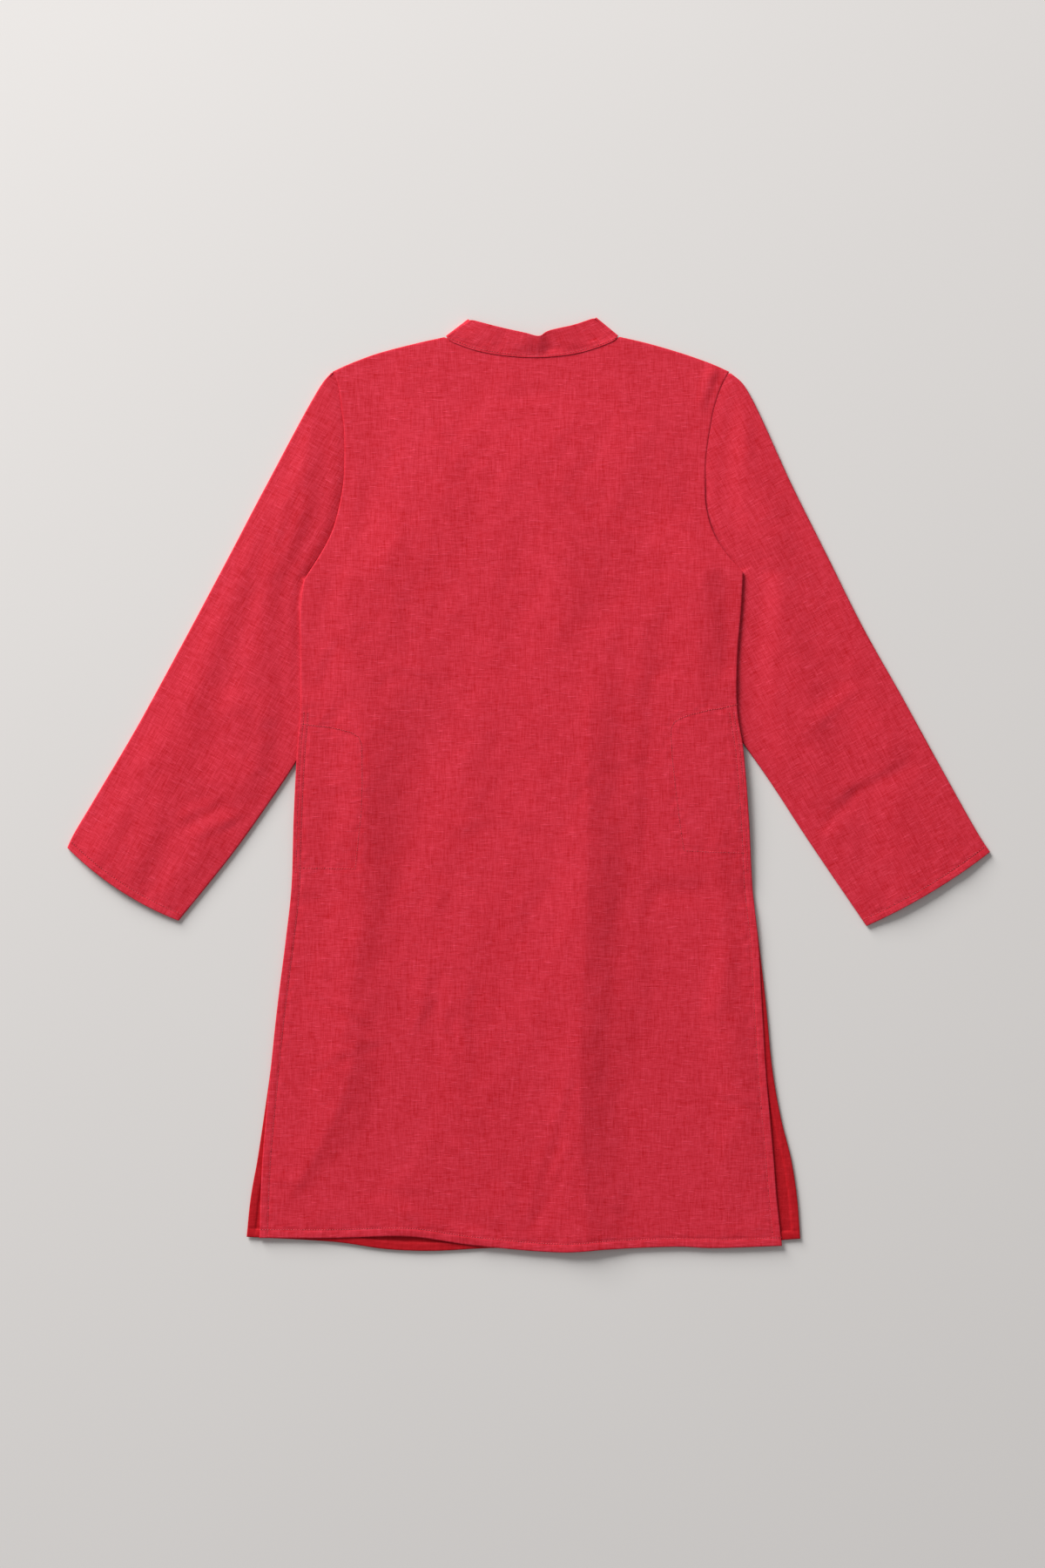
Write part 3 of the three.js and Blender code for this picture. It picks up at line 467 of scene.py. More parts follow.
def makeWeave():
    group, start, end = nodeGroup(
        "linenWeave",
        [("Cloth Plan", "Vector", None), ("Light Thread", "Color", (0.7, 0.1, 0.1, 1)),
         ("Dark Thread", "Color", (0.4, 0.02, 0.03, 1)), ("Thread Pitch", "Float", 0.0006),
         ("Streaks", "Float", 0.5), ("Slubs", "Float", 0.35)],
        [("Color", "Color"), ("Roughness", "Float"), ("Height", "Float")])
    plan, pitch = start.outputs["Cloth Plan"], start.outputs["Thread Pitch"]

    def calc(operation, *values):
        return sums(group, operation, *values)

    split = group.nodes.new("ShaderNodeSeparateXYZ")
    group.links.new(plan, split.inputs[0])
    u, v = split.outputs[0], split.outputs[1]
    # over and under: each thread shows where the other dips. The crests are bumped, and also lightened in the tone
    # as a painted highlight
    waves = [calc("SINE", calc("MULTIPLY", calc("DIVIDE", way, pitch), math.pi)) for way in (u, v)]
    over = calc("ABSOLUTE", calc("MULTIPLY", *waves))
    # uneven yarn, thread by thread, and coarser pairs of threads
    pair = calc("MULTIPLY", pitch, weaveLook["pair"])
    yarns = []
    for across, along, name in ((u, v, "warp"), (v, u, "weft")):
        ofPair, ofThread = yarnWaves[name]
        both = calc("MULTIPLY_ADD", unevenYarn(group, across, along, pair, *ofPair), weaveLook["pairShare"],
                    unevenYarn(group, across, along, pitch, *ofThread))
        yarns.append(calc("SUBTRACT", both, weaveLook["yarnMean"]))
    yarn = calc("MULTIPLY", calc("ADD", *yarns), calc("MULTIPLY", start.outputs["Streaks"], 1.15))
    slubs = group.nodes.new("ShaderNodeMapRange")
    slubs.interpolation_type = "SMOOTHSTEP"
    for label, value in slubRange.items():
        slubs.inputs[label].default_value = value
    group.links.new(unevenYarn(group, v, u, pitch, *yarnWaves["slub"]), slubs.inputs["Value"])
    stretch = addNode(group, "Mapping", {"Vector": plan}, Scale=(11, 8, 1))
    cloud = addNode(group, "TexNoise", {"Vector": stretch.outputs[0]}, Scale=1, Detail=3, Roughness=0.6)
    # the thread crests lightened: painted highlight
    tone = calc("ADD", calc("ADD", yarn, toneLook["even"]), calc("MULTIPLY", over, toneLook["raised"]))
    tone = calc("ADD", tone, calc("MULTIPLY", slubs.outputs[0], start.outputs["Slubs"]))
    tone = calc("ADD", tone, calc("MULTIPLY", calc("SUBTRACT", cloud.outputs["Fac"], 0.5), toneLook["cloud"]))
    tone = calc("MINIMUM", calc("MAXIMUM", tone, 0.0), toneLook["most"])
    blend = group.nodes.new("ShaderNodeMix")
    blend.data_type = "RGBA"
    blend.clamp_factor = False
    height = calc("ADD", calc("MULTIPLY", over, 0.5), calc("MULTIPLY", yarn, 0.55))
    for socket, target in (
            (tone, blend.inputs["Factor"]), (start.outputs["Dark Thread"], blend.inputs["A"]),
            (start.outputs["Light Thread"], blend.inputs["B"]), (blend.outputs["Result"], end.inputs["Color"]),
            (calc("SUBTRACT", 0.68, calc("MULTIPLY", tone, 0.12)), end.inputs["Roughness"]),
            (calc("ADD", height, calc("MULTIPLY", slubs.outputs[0], 0.5)), end.inputs["Height"])):
        group.links.new(socket, target)
    return group


def makePuckers():
    # cloth drawn up by a row of stitches: short ripples across the row, fading with distance from it
    group, start, end = nodeGroup(
        "seamPuckers",
        [("Cloth Plan", "Vector", None), ("From Seam", "Float", 1.0), ("Reach", "Float", 0.007),
         ("Ripple Size", "Float", 0.006)],
        [("Height", "Float")])
    spread = group.nodes.new("ShaderNodeVectorMath")
    spread.operation = "SCALE"
    group.links.new(start.outputs["Cloth Plan"], spread.inputs[0])
    group.links.new(sums(group, "DIVIDE", 1.0, start.outputs["Ripple Size"]), spread.inputs["Scale"])
    noise = addNode(group, "TexNoise", {"Vector": spread.outputs[0]}, Scale=puckerLook["detail"], Detail=1)
    away = sums(group, "DIVIDE", start.outputs["From Seam"], start.outputs["Reach"])
    away = sums(group, "POWER", away, 2.0)
    near = sums(group, "POWER", 2.718, sums(group, "MULTIPLY", -1.0, away))
    ripple = sums(group, "MULTIPLY", sums(group, "SUBTRACT", noise.outputs["Fac"], 0.5), near)
    group.links.new(ripple, end.inputs["Height"])
    return group


linenWeave = makeWeave()
seamPuckers = makePuckers()


def newMaterial(name):
    material = bpy.data.materials.new(name)
    material.use_nodes = True
    return material, material.node_tree, material.node_tree.nodes["Principled BSDF"]


def makeLinen(name, tones):
    material, tree, shader = newMaterial(name)
    plan = tree.nodes.new("ShaderNodeUVMap")
    plan.uv_map = "clothPlan"
    fromSeam = tree.nodes.new("ShaderNodeAttribute")
    fromSeam.attribute_name = "fromSeam"
    weave, puckers = tree.nodes.new("ShaderNodeGroup"), tree.nodes.new("ShaderNodeGroup")
    weave.node_tree, puckers.node_tree = linenWeave, seamPuckers
    for label, value in (("Light Thread", tones[0]), ("Dark Thread", tones[1]),
                         ("Thread Pitch", weaveLook["threadPitch"]), ("Streaks", weaveLook["streaks"]),
                         ("Slubs", weaveLook["slubs"])):
        weave.inputs[label].default_value = value
    for group in (weave, puckers):
        tree.links.new(plan.outputs["UV"], group.inputs["Cloth Plan"])
    tree.links.new(fromSeam.outputs["Fac"], puckers.inputs["From Seam"])
    drawn = addNode(tree, "Bump", {"Height": puckers.outputs["Height"]},
                    Strength=puckerLook["strength"], Distance=puckerLook["depth"])
    woven = addNode(tree, "Bump", {"Height": weave.outputs["Height"], "Normal": drawn.outputs["Normal"]},
                    Strength=weaveLook["strength"], Distance=weaveLook["depth"])
    tree.links.new(weave.outputs["Color"], shader.inputs["Base Color"])
    tree.links.new(weave.outputs["Roughness"], shader.inputs["Roughness"])
    tree.links.new(woven.outputs["Normal"], shader.inputs["Normal"])
    for label, value in linenLook.items():
        shader.inputs[label].default_value = value
    return material


def makeMottled(name, scale, dark, light, roughness, distortion=0.0):
    # a material whose colour wanders between two tones; roughness is one value or a pair to wander between
    material, tree, shader = newMaterial(name)
    where = tree.nodes.new("ShaderNodeTexCoord")
    noise = addNode(tree, "TexNoise", {"Vector": where.outputs["Object"]}, Scale=scale, Distortion=distortion)
    ramp = addNode(tree, "ValToRGB", {"Fac": noise.outputs["Fac"]})
    ramp.color_ramp.elements[0].color = dark
    ramp.color_ramp.elements[1].color = light
    tree.links.new(ramp.outputs["Color"], shader.inputs["Base Color"])
    if isinstance(roughness, float):
        shader.inputs["Roughness"].default_value = roughness
    else:
        rough = addNode(tree, "MapRange", {"Value": noise.outputs["Fac"]})
        rough.inputs["To Min"].default_value, rough.inputs["To Max"].default_value = roughness
        tree.links.new(rough.outputs[0], shader.inputs["Roughness"])
    return material, tree, shader, noise


def makeThread():
    material, tree, shader, noise = makeMottled(
        "sewingThread", 900, (0.56, 0.030, 0.050, 1), (0.84, 0.12, 0.16, 1), 0.5)
    bump = addNode(tree, "Bump", {"Height": noise.outputs["Fac"]}, Distance=0.00005)
    tree.links.new(bump.outputs["Normal"], shader.inputs["Normal"])
    return material


linen = {name: makeLinen(name + "Linen", tones) for name, tones in linenTones.items()}
thread = makeThread()
# dark beads in the needle holes between the stitches, standing in for the shade inside the holes: painted shade
holeShade = makeMottled("holeShade", 700, (0.16, 0.002, 0.006, 1), (0.30, 0.005, 0.014, 1), 0.95)[0]
print("materials mixed")


# floor, camera and light

floorLook = dict(half=4, z=-0.0003)
paper = makeMottled("palePaper", 2.2, (0.735, 0.715, 0.705, 1), (0.755, 0.735, 0.725, 1), 0.9)[0]
paperMesh = bpy.data.meshes.new("floor")
paperMesh.from_pydata([(x * floorLook["half"], y * floorLook["half"], floorLook["z"])
                       for x, y in ((-1, -1), (1, -1), (1, 1), (-1, 1))], [], [(0, 1, 2, 3)])
floor = place("floor", paperMesh)
floor.data.materials.append(paper)

photoFrame = dict(centre=(-0.005, 0.0004), height=1.278, lens=85, sensor=36, clothTop=0.002)
cameraData = bpy.data.cameras.new("camera")
cameraData.sensor_fit = "VERTICAL"
cameraData.sensor_height = photoFrame["sensor"]
cameraData.lens = photoFrame["lens"]
camera = place("camera", cameraData)
cameraHeight = photoFrame["height"] * photoFrame["lens"] / photoFrame["sensor"] + photoFrame["clothTop"]
camera.location = (*photoFrame["centre"], cameraHeight)
bpy.context.scene.camera = camera

window = dict(at=(-3.3, 4.9, 2.5), size=3.4, power=705, color=(1.0, 0.99, 0.975))
windowData = bpy.data.lights.new("window", "AREA")
windowData.shape = "SQUARE"
windowData.size = window["size"]
windowData.energy = window["power"]
windowData.color = window["color"]
light = place("window", windowData)
light.location = window["at"]
toward = -np.array(window["at"])
light.rotation_euler = (math.atan2(math.hypot(toward[0], toward[1]), -toward[2]), 0,
                        math.atan2(-toward[0], toward[1]))

room = dict(color=(1, 0.99, 0.985, 1), strength=0.28)
world = bpy.data.worlds.new("studio")
world.use_nodes = True
world.node_tree.nodes["Background"].inputs["Color"].default_value = room["color"]
world.node_tree.nodes["Background"].inputs["Strength"].default_value = room["strength"]
bpy.context.scene.world = world
bpy.context.scene.view_settings.view_transform = "Standard"
print("room set up")


# rows of stitching, as lines on the plan

def offsetLine(curve, start, end, inset, step=1.2):
    # a line beside a curve, on its right-hand side, between two shares of its length
    count = max(2, int(curve.length * (end - start) / step))
    t = np.linspace(start, end, count)
    spots = curve(t)
    run = curve(np.clip(t + 0.002, 0, 1)) - curve(np.clip(t - 0.002, 0, 1))
    run /= np.linalg.norm(run, axis=1)[:, None]
    return spots + inset * np.stack([run[:, 1], -run[:, 0]], axis=1)


def awayFromRows(spots, rows):
    flat = spots.reshape(-1, 2)
    nearest = np.full(len(flat), 40.0)
    for row in rows:
        row = np.asarray(row)[:: max(1, len(row) // 60)]
        for a, b in zip(row[:-1], row[1:]):
            run = b - a
            along = np.clip((flat - a) @ run / max(run @ run, 1e-9), 0, 1)
            nearest = np.minimum(nearest, np.linalg.norm(flat - a - along[:, None] * run, axis=1))
    return nearest.reshape(spots.shape[:-1])


hemRow = dict(hem=6.9, slit=6.5, seam=3.0, seamTop=59, seamBottom=-71)


def belowCurve(panel, side):
    return curveThrough(sideLine(panel, side)[1])


def sideRow(panel, side, inset, top, bottom):
    curve = belowCurve(panel, side)
    t = np.linspace(0, 1, 400)
    heights = curve(t)[:, 1]
    start, end = np.interp([-top, -bottom], -heights, t)
    inward = inset if side == "right" else -inset
    return offsetLine(curve, start, end, inward)


# the pocket bags' stitching on the back, from the seam round and back to it
pocketSeams = {
    "left": [(-184.5, 49.5), (-177, 48.2), (-161.5, 46.6), (-145, 42.6), (-138.4, 38.6), (-135.8, 31.5),
             (-135.6, 3), (-136.4, -22), (-138.1, -37), (-140.2, -58), (-141.4, -68.4), (-166, -68.2),
             (-187.5, -68.0)],
    "right": [(170.2, 65.4), (156.5, 62), (147.6, 60.8), (132.2, 57), (125, 54.6), (118.6, 51), (115.6, 45),
              (117.0, 20), (121.0, -15), (124.6, -42), (126.4, -53.8), (146, -54.8), (175.5, -55.6)],
}
pocketRows = [np.array(row) for row in pocketSeams.values()]
backRows, frontRows = ([offsetLine(curveThrough(hemLine[panel]), 0, 1, -hemRow["hem"])]
                       for panel in ("back", "front"))
for side in ("left", "right"):
    backRows.append(sideRow("back", side, hemRow["slit"], hemRow["seamTop"], -368))
    backRows.append(sideRow("back", side, hemRow["seam"], hemRow["seamTop"], hemRow["seamBottom"]))
    frontRows.append(sideRow("front", side, hemRow["slit"], hemRow["seamTop"], -366))


# front and back panels

panelLook = dict(spacing=2.95, cloth=0.8, hemCloth=1.5, hemStep=0.2, hemEdge=7.6, slitEdge=7.4, hemRamp=1.2,
                 groove=0.3, grooveWide=0.9, ripple=0.035, rippleReach=6, roll=1.3, rollDrop=0.8,
                 pressed=0.55, floor=0.02)
edgeLines = [0, 0.15, 0.4, 0.8, 1.5, 3, 4.6, 5.8, 6.5, 7.2, 8, 9.6]
outlineShares = dict(shoulder=0.28, neck=0.44, armhole=0.26)
# how the back stands off the front: its height, and how far from each edge it takes to get there
backLoft = dict(high=2.8, left=60, right=34, above=2, shoulder=130, atHem=0.5, hemFade=200, soft=1.2,
                folds=0.2, clear=1.5, fade=16, clearTop=4, fadeTop=14)
# the buttons and the placket below hold the middle up
middleLoft = dict(high=3.5, top=353, ramp=95, bottom=-40, fall=110, wide=74)
# the back is held down where the collar is sewn over it
neckHold = dict(high=2.95, rise=9, start=3, over=34, beside=8)
# uneven waves of each piece: height, size, seed, direction, spread of directions
backRumples = [(0.22, 85, 11, 0.1, 1.3), (0.055, 26, 12, 0.2, 2.6), (0.030, 13, 13, 0.0, 3.14)]
frontRumples = [(0.12, 60, 21, 0.0, 2.0)]
sleeveRumples = [(0.12, 60, 41, 0.5, 1.6), (0.045, 22, 42, 0.0, 2.6), (0.025, 12, 43, 0.0, math.pi)]

# slopes of the back: points along each, its width, and how steeply the cloth falls away to the
# right-hand side of that direction
backSlopes = [
    ([(56, -236), (62, -172), (66, -112), (70, -60)], 24, 0.075),
    ([(104, -188), (98, -130), (100, -66)], 27, 0.065),
    ([(62, -45), (65, 40), (70, 112)], 25, 0.065),
    ([(95, -45), (97, 40), (101, 130)], 25, 0.060),
    ([(85, 120), (86, 240)], 56, 0.040),
    ([(42, 140), (48, 300)], 44, 0.026),
    ([(26, -376), (28, -200), (30, -50)], 30, -0.035),
    ([(124, -150), (122, 40), (128, 220)], 30, -0.030),
    ([(-126, -130), (-118, -92), (-112, -56)], 30, 0.070),
    ([(-200, -303), (-176, -308), (-150, -306)], 28, 0.035),
    ([(-206, -336), (-150, -334), (-92, -340)], 20, -0.050),
    ([(-184, -238), (-174, -196), (-162, -150)], 27, 0.050),
    ([(-134, -314), (-118, -280), (-102, -248)], 16, -0.035),
    ([(-120, -42), (-121, 34)], 40, 0.040),
    ([(-116, -276), (-93, -222), (-84, -190), (-80, -160)], 17, 0.065),
    ([(-141, 128), (-140, 210), (-143, 300)], 29, 0.060),
    ([(-105, 125), (-102, 190), (-100, 250)], 22, 0.036),
    ([(-20, 66), (-16, 150), (-14, 228)], 36, 0.048),
    ([(-38, 24), (-30, 92)], 30, 0.024),
    ([(162, 60), (158, 120), (152, 192)], 20, 0.070),
    ([(-36, -272), (-58, -228), (-66, -194)], 10, 0.045),
    ([(-46, -230), (-50, -200), (-47, -168)], 13, 0.045),
    ([(-20, -262), (-38, -238), (-43, -216)], 9, 0.035),
    ([(2, -350), (20, -291), (36, -240)], 12, 0.055),
    ([(3, -357), (18, -328), (34, -298)], 9, 0.045),
    ([(-33, -345), (-46, -322), (-62, -304)], 9, 0.050),
    ([(-5, -356), (-14, -334), (-23, -311)], 8, 0.045),
    ([(-178, -170), (-150, -185), (-127, -198), (-114, -212)], 8, 0.050),
    ([(-138, -211), (-112, -210), (-94, -202), (-76, -175)], 9, 0.045),
    ([(-182, -238), (-154, -222), (-126, -213)], 10, 0.040),
    ([(-212, -325), (-150, -328), (-76, -333)], 7, 0.040),
    ([(-98, -345), (-62, -356), (-32, -368)], 14, -0.060),
    ([(-112, -366), (-84, -370), (-50, -373)], 14, 0.060),
    ([(112, -257), (132, -252), (152, -252), (184, -262)], 9, 0.045),
    ([(156, -194), (161, -172), (166, -150)], 20, 0.065),
    ([(128, -212), (138, -196), (148, -190)], 12, 0.030),
    ([(184, -348), (196, -322), (198, -298)], 18, 0.050),
    ([(120, -356), (160, -360), (196, -352)], 14, -0.040),
    ([(60, -342), (84, -350), (104, -342)], 12, 0.030),
    ([(-90, 342.5), (-66, 342), (-44, 345.5)], 8, 0.055),
    ([(-18, 321), (6, 322)], 18, 0.060),
    ([(150, 312), (158, 342)], 15, 0.24),
    ([(-160, 322), (-154, 342)], 9, 0.060),
    ([(-179, 20), (-172, 38), (-163, 55)], 13, 0.130),
    ([(-184, 44), (-172, 63)], 8, 0.060),
    ([(-187, 1), (-174, -4), (-158, -4)], 9, 0.070),
    ([(-187, -22), (-166, -27)], 9, 0.050),
    ([(-189, -39), (-170, -36)], 8, 0.040),
    ([(-185, 110), (-180, 126), (-174, 142)], 10, 0.045),
    ([(-173, 84), (-159, 114)], 12, 0.038),
    ([(-150, 70), (-110, 92), (-70, 88)], 14, 0.020),
    ([(40, -8), (60, 12), (96, 20)], 12, 0.022),
    ([(-70, -122), (-66, -66)], 18, 0.026),
    ([(-12, -142), (2, -88)], 20, 0.022),
    ([(-60, -40), (-30, -30), (0, -36)], 16, 0.018),
]
frontSlopes = [
    ([(-120, -300), (-104, -180), (-90, -60)], 60, 0.020),
    ([(60, -330), (70, -230), (84, -120)], 64, 0.025),
    ([(10, -60), (4, 40), (-14, 160)], 50, 0.015),
]


# narrow slopes are creases and count for more
slopeGain = dict(broad=0.8, crease=1.8, upTo=17)

# crisp ridges of the back: the line of each from its low end up, how far and how high the cloth
# rises to it from the left, how it falls to the right, and how far it takes to lie level again
backRidges = [
    dict(line=[(52, -420), (49, -376), (44, -300), (42, -220), (47, -120), (48, -20), (49, 50), (53, 150)],
         before=90, high=3.1, after=76, low=2.7, settle=44, ends=(10, 130)),
    dict(line=[(-156, -235), (-150, -205), (-140, -140), (-134, -80), (-136, -20), (-138, 90)],
         before=60, high=0.8, after=44, low=1.2, settle=56, ends=(60, 70)),
    dict(line=[(-206, -352), (-180, -312), (-155, -262), (-141, -215), (-136, -170)],
         before=60, high=1.5, after=46, low=2.2, settle=46, ends=(34, 50)),
]


def ridgesAt(x, y):
    total = np.zeros_like(x)
    for ridge in backRidges:
        line = curveThrough(ridge["line"])(np.linspace(0, 1, 240))
        aside = x - np.interp(y, line[:, 1], line[:, 0])
        share = smooth((y - line[0, 1]) / ridge["ends"][0]) * smooth((line[-1, 1] - y) / ridge["ends"][1])
        rise = ridge["high"] * np.clip(1 + aside / ridge["before"], 0, 1) ** 2
        down = np.clip(aside / ridge["after"], 0, 1)
        fall = ridge["high"] - (ridge["high"] + ridge["low"]) * down * (1.3 - 0.3 * down**3)
        back = -ridge["low"] * (1 - smooth((aside - ridge["after"]) / ridge["settle"]))
        total += share * np.where(aside < 0, rise, np.where(down < 1, fall, back))
    return total
def slopesAt(slopes, x, y):
    total = np.zeros_like(x)
    for points, wide, steep in slopes:
        points = np.array(points, float)
        away, aside, beyond = np.full(x.shape, 1e9), np.zeros_like(x), np.zeros_like(x)
        last = len(points) - 2
        for k, (start, run) in enumerate(zip(points, np.diff(points, axis=0))):
            length = math.hypot(*run)
            along = ((x - start[0]) * run[0] + (y - start[1]) * run[1]) / length
            side = ((x - start[0]) * run[1] - (y - start[1]) * run[0]) / length
            before, after = np.maximum(-along, 0), np.maximum(along - length, 0)
            near = np.hypot(side, before + after)
            past = (before if k == 0 else 0) + (after if k == last else 0)
            closer = near < away
            away = np.where(closer, near, away)
            aside = np.where(closer, np.where(past > 0, side, np.copysign(near, side)), aside)
            beyond = np.where(closer, past, beyond)
        gain = slopeGain["crease"] if wide <= slopeGain["upTo"] else slopeGain["broad"]
        fading = (aside / (0.5 * wide)) ** 2 + (beyond / (0.6 * wide)) ** 2
        total -= gain * steep * aside * np.exp(-fading)
    return total


def softMax(a, b, soft=0.35):
    return 0.5 * (a + b + np.sqrt((a - b) ** 2 + soft * soft)) - 0.25 * soft


def rumplesAt(rumples, x, y):
    return sum(high * rumple(x, y, size, seed, lean, spread) for high, size, seed, lean, spread in rumples)


def lapShare(y):
    # where the body lies over the sleeve beside it, from the middle of the armhole down
    return smooth((lap["top"] - y) / (lap["top"] - lap["full"])) * smooth((y - lap["bottom"]) / lap["fade"])


def backTop(x, y):
    inside, below = insideSides(x, y), belowTop(x, y)
    beside = np.abs(x - placket["centre"])
    inner = smooth((x - edgeAt("left", y)) / backLoft["left"])
    inner = inner * smooth((edgeAt("right", y) - x) / backLoft["right"])
    inner = inner * smooth((below + backLoft["above"]) / backLoft["shoulder"])
    middle = smooth((middleLoft["top"] - y) / middleLoft["ramp"])
    middle = middle * smooth((y - middleLoft["bottom"]) / middleLoft["fall"])
    middle = middle * np.exp(-((beside / middleLoft["wide"]) ** 2))
    nearHem = mix(backLoft["atHem"], 1, smooth((y - hemLine["back"][0][1]) / backLoft["hemFade"]))
    free = smooth((inside - backLoft["clear"]) / backLoft["fade"])
    free = free * smooth((below + backLoft["clearTop"]) / backLoft["fadeTop"])
    relief = foldsAt(backFolds, x, y) * backLoft["folds"] + slopesAt(backSlopes, x, y) + ridgesAt(x, y)
    relief += rumplesAt(backRumples, x, y)
    loft = softMax(backLoft["high"] * inner * nearHem, middleLoft["high"] * middle, backLoft["soft"])
    loft = loft + relief * free
    for room in (pocketRoom(x, y), hemRoom(y), collarRoom(x, y), placketRoom(x, y)):
        loft = softMax(loft, room)
    tuckedUp = lap["high"] * lapShare(y) * (1 - smooth((inside - lap["clear"]) / lap["reach"]))
    top = cloth + seamGap + tuckRise(x, y) + loft + tuckedUp + cloth
    held = smooth((below - neckHold["start"]) / neckHold["over"])
    held = held + smooth((beside - collarBand["reach"]) / neckHold["beside"])
    return np.minimum(top, neckHold["high"] + neckHold["rise"] * held)


def frontTop(x, y):
    hollow, most, edge = 0.3, 1.2, 30
    relief = slopesAt(frontSlopes, x, y) + rumplesAt(frontRumples, x, y)
    return frontUnder(x, y) + cloth + np.clip(hollow + relief * smooth(insideSides(x, y) / edge), 0, most)


def panelPlan(panel):
    shares = outlineShares
    top = chain((shares["shoulder"], curveThrough(shoulderLine["left"][::-1])),
                (shares["neck"], curveThrough(neckline[panel])),
                (shares["shoulder"], curveThrough(shoulderLine["right"])))
    edges = []
    for side in ("left", "right"):
        armhole, below = sideLine(panel, side)
        edges.append(chain((shares["armhole"], curveThrough(armhole)),
                           (1 - shares["armhole"], curveThrough(below))))
    width = hemLine[panel][-1][0] - hemLine[panel][0][0]
    length = belowCurve(panel, "left").length / (1 - shares["armhole"])
    across = linesAcross(width, panelLook["spacing"], edgeLines, edgeLines)
    down = linesAcross(length, panelLook["spacing"], edgeLines[:8], edgeLines)
    for lines, stops in ((across, (shares["shoulder"], 1 - shares["shoulder"])), (down, (shares["armhole"],))):
        for stop in stops:
            lines[np.argmin(np.abs(lines - stop))] = stop
    return fillBetween(top, curveThrough(hemLine[panel]), edges[0], edges[1], across, down)


def closeIn(outer, inner, away, radius):
    # rounds an edge: both faces draw together towards it
    share = np.clip(away / radius, 0, 1)
    apart = np.maximum(np.sqrt(1 - (1 - share) ** 2), 0.12)
    middle = 0.5 * (outer + inner)
    return middle + (outer - middle) * apart, middle + (inner - middle) * apart


def panelFaces(plan, top, rows, exposed):
    # exposed is 1 for a panel seen from above and -1 for one whose right side lies down
    look = panelLook
    x, y = plan[..., 0], plan[..., 1]
    z = top(x, y)
    sideAway = np.minimum(awayFrom(plan, plan[:, :1]), awayFrom(plan, plan[:, -1:]))
    bottomAway = awayFrom(plan, plan[-1:])
    topAway = awayFrom(plan, plan[:1])
    inSlit = smooth((slitTop + 4 - y) / 12)
    band = np.maximum(smooth((look["hemEdge"] - bottomAway) / look["hemRamp"]),
                      inSlit * smooth((look["slitEdge"] - sideAway) / look["hemRamp"]))
    thick = mix(look["cloth"], look["hemCloth"], band)
    fromSeam = awayFromRows(plan, rows)
    ripple = rumple(x, y, 7.5, 31, lean=math.pi / 2, spread=1.2)
    ripple = ripple * np.exp(-((fromSeam / look["rippleReach"]) ** 2))
    if exposed < 0:
        z = z + band * (look["hemCloth"] - look["cloth"])
    z = z + band * look["hemStep"] - look["groove"] * np.exp(-((fromSeam / look["grooveWide"]) ** 2))
    z = z + look["ripple"] * ripple
    under = z - thick
    roll = np.clip(1 - np.minimum(topAway, sideAway) / look["roll"], 0, 1)
    drop = look["rollDrop"] * look["cloth"] * (1 - np.sqrt(1 - roll**2)) * (1 - inSlit)
    if exposed > 0:
        z = z - drop
    else:
        under = under + drop
    hemAway = np.where(inSlit > 0.5, np.minimum(sideAway, bottomAway), bottomAway)
    z, under = closeIn(z, under, hemAway, look["pressed"] * look["hemCloth"])
    return lift(plan, z), lift(plan, np.maximum(under, look["floor"])), fromSeam


def cutPanel(panel, top, rows, exposed):
    plan = panelPlan(panel)
    outer, inner, fromSeam = panelFaces(plan, top, rows, exposed)
    piece = shell(panel + "Panel", outer, inner, plan)
    addSeamDistance(piece, fromSeam)
    print(panel, "panel cut", len(piece.data.polygons))
    return dress(piece, panel, linen[panel])


backPanel = cutPanel("back", backTop, backRows + pocketRows, 1)
# the front is dressed in the darker copy of the linen: painted shade
frontPanel = cutPanel("front", frontTop, frontRows, -1)


# sleeves

sleeveLook = dict(spacing=2.9, cloth=0.6, hemCloth=1.0, cuffStart=0.7, cuffRow=6.2, under=0.5, tip=2.4, tipReach=6,
                  tuckedIn=3.4, sink=dict(left=1.0, right=0.3), groove=0.8, hemStep=0.15, pressed=0.5,
                  bendSteps=6, acrossSteps=46)

# how far the sleeve dips at its seam: everywhere, where the body laps over it, at the shoulder tip
# and right at the edge; then beside the body below the underarm
seamSink = dict(even=0.30, lap=0.75, tip=0.5, tipAt=333, tipLong=12, reach=4.5, edge=0.35, edgeReach=1.1)
sideSink = dict(top=196, ramp=20, bottom=50, fall=60, reach=5)
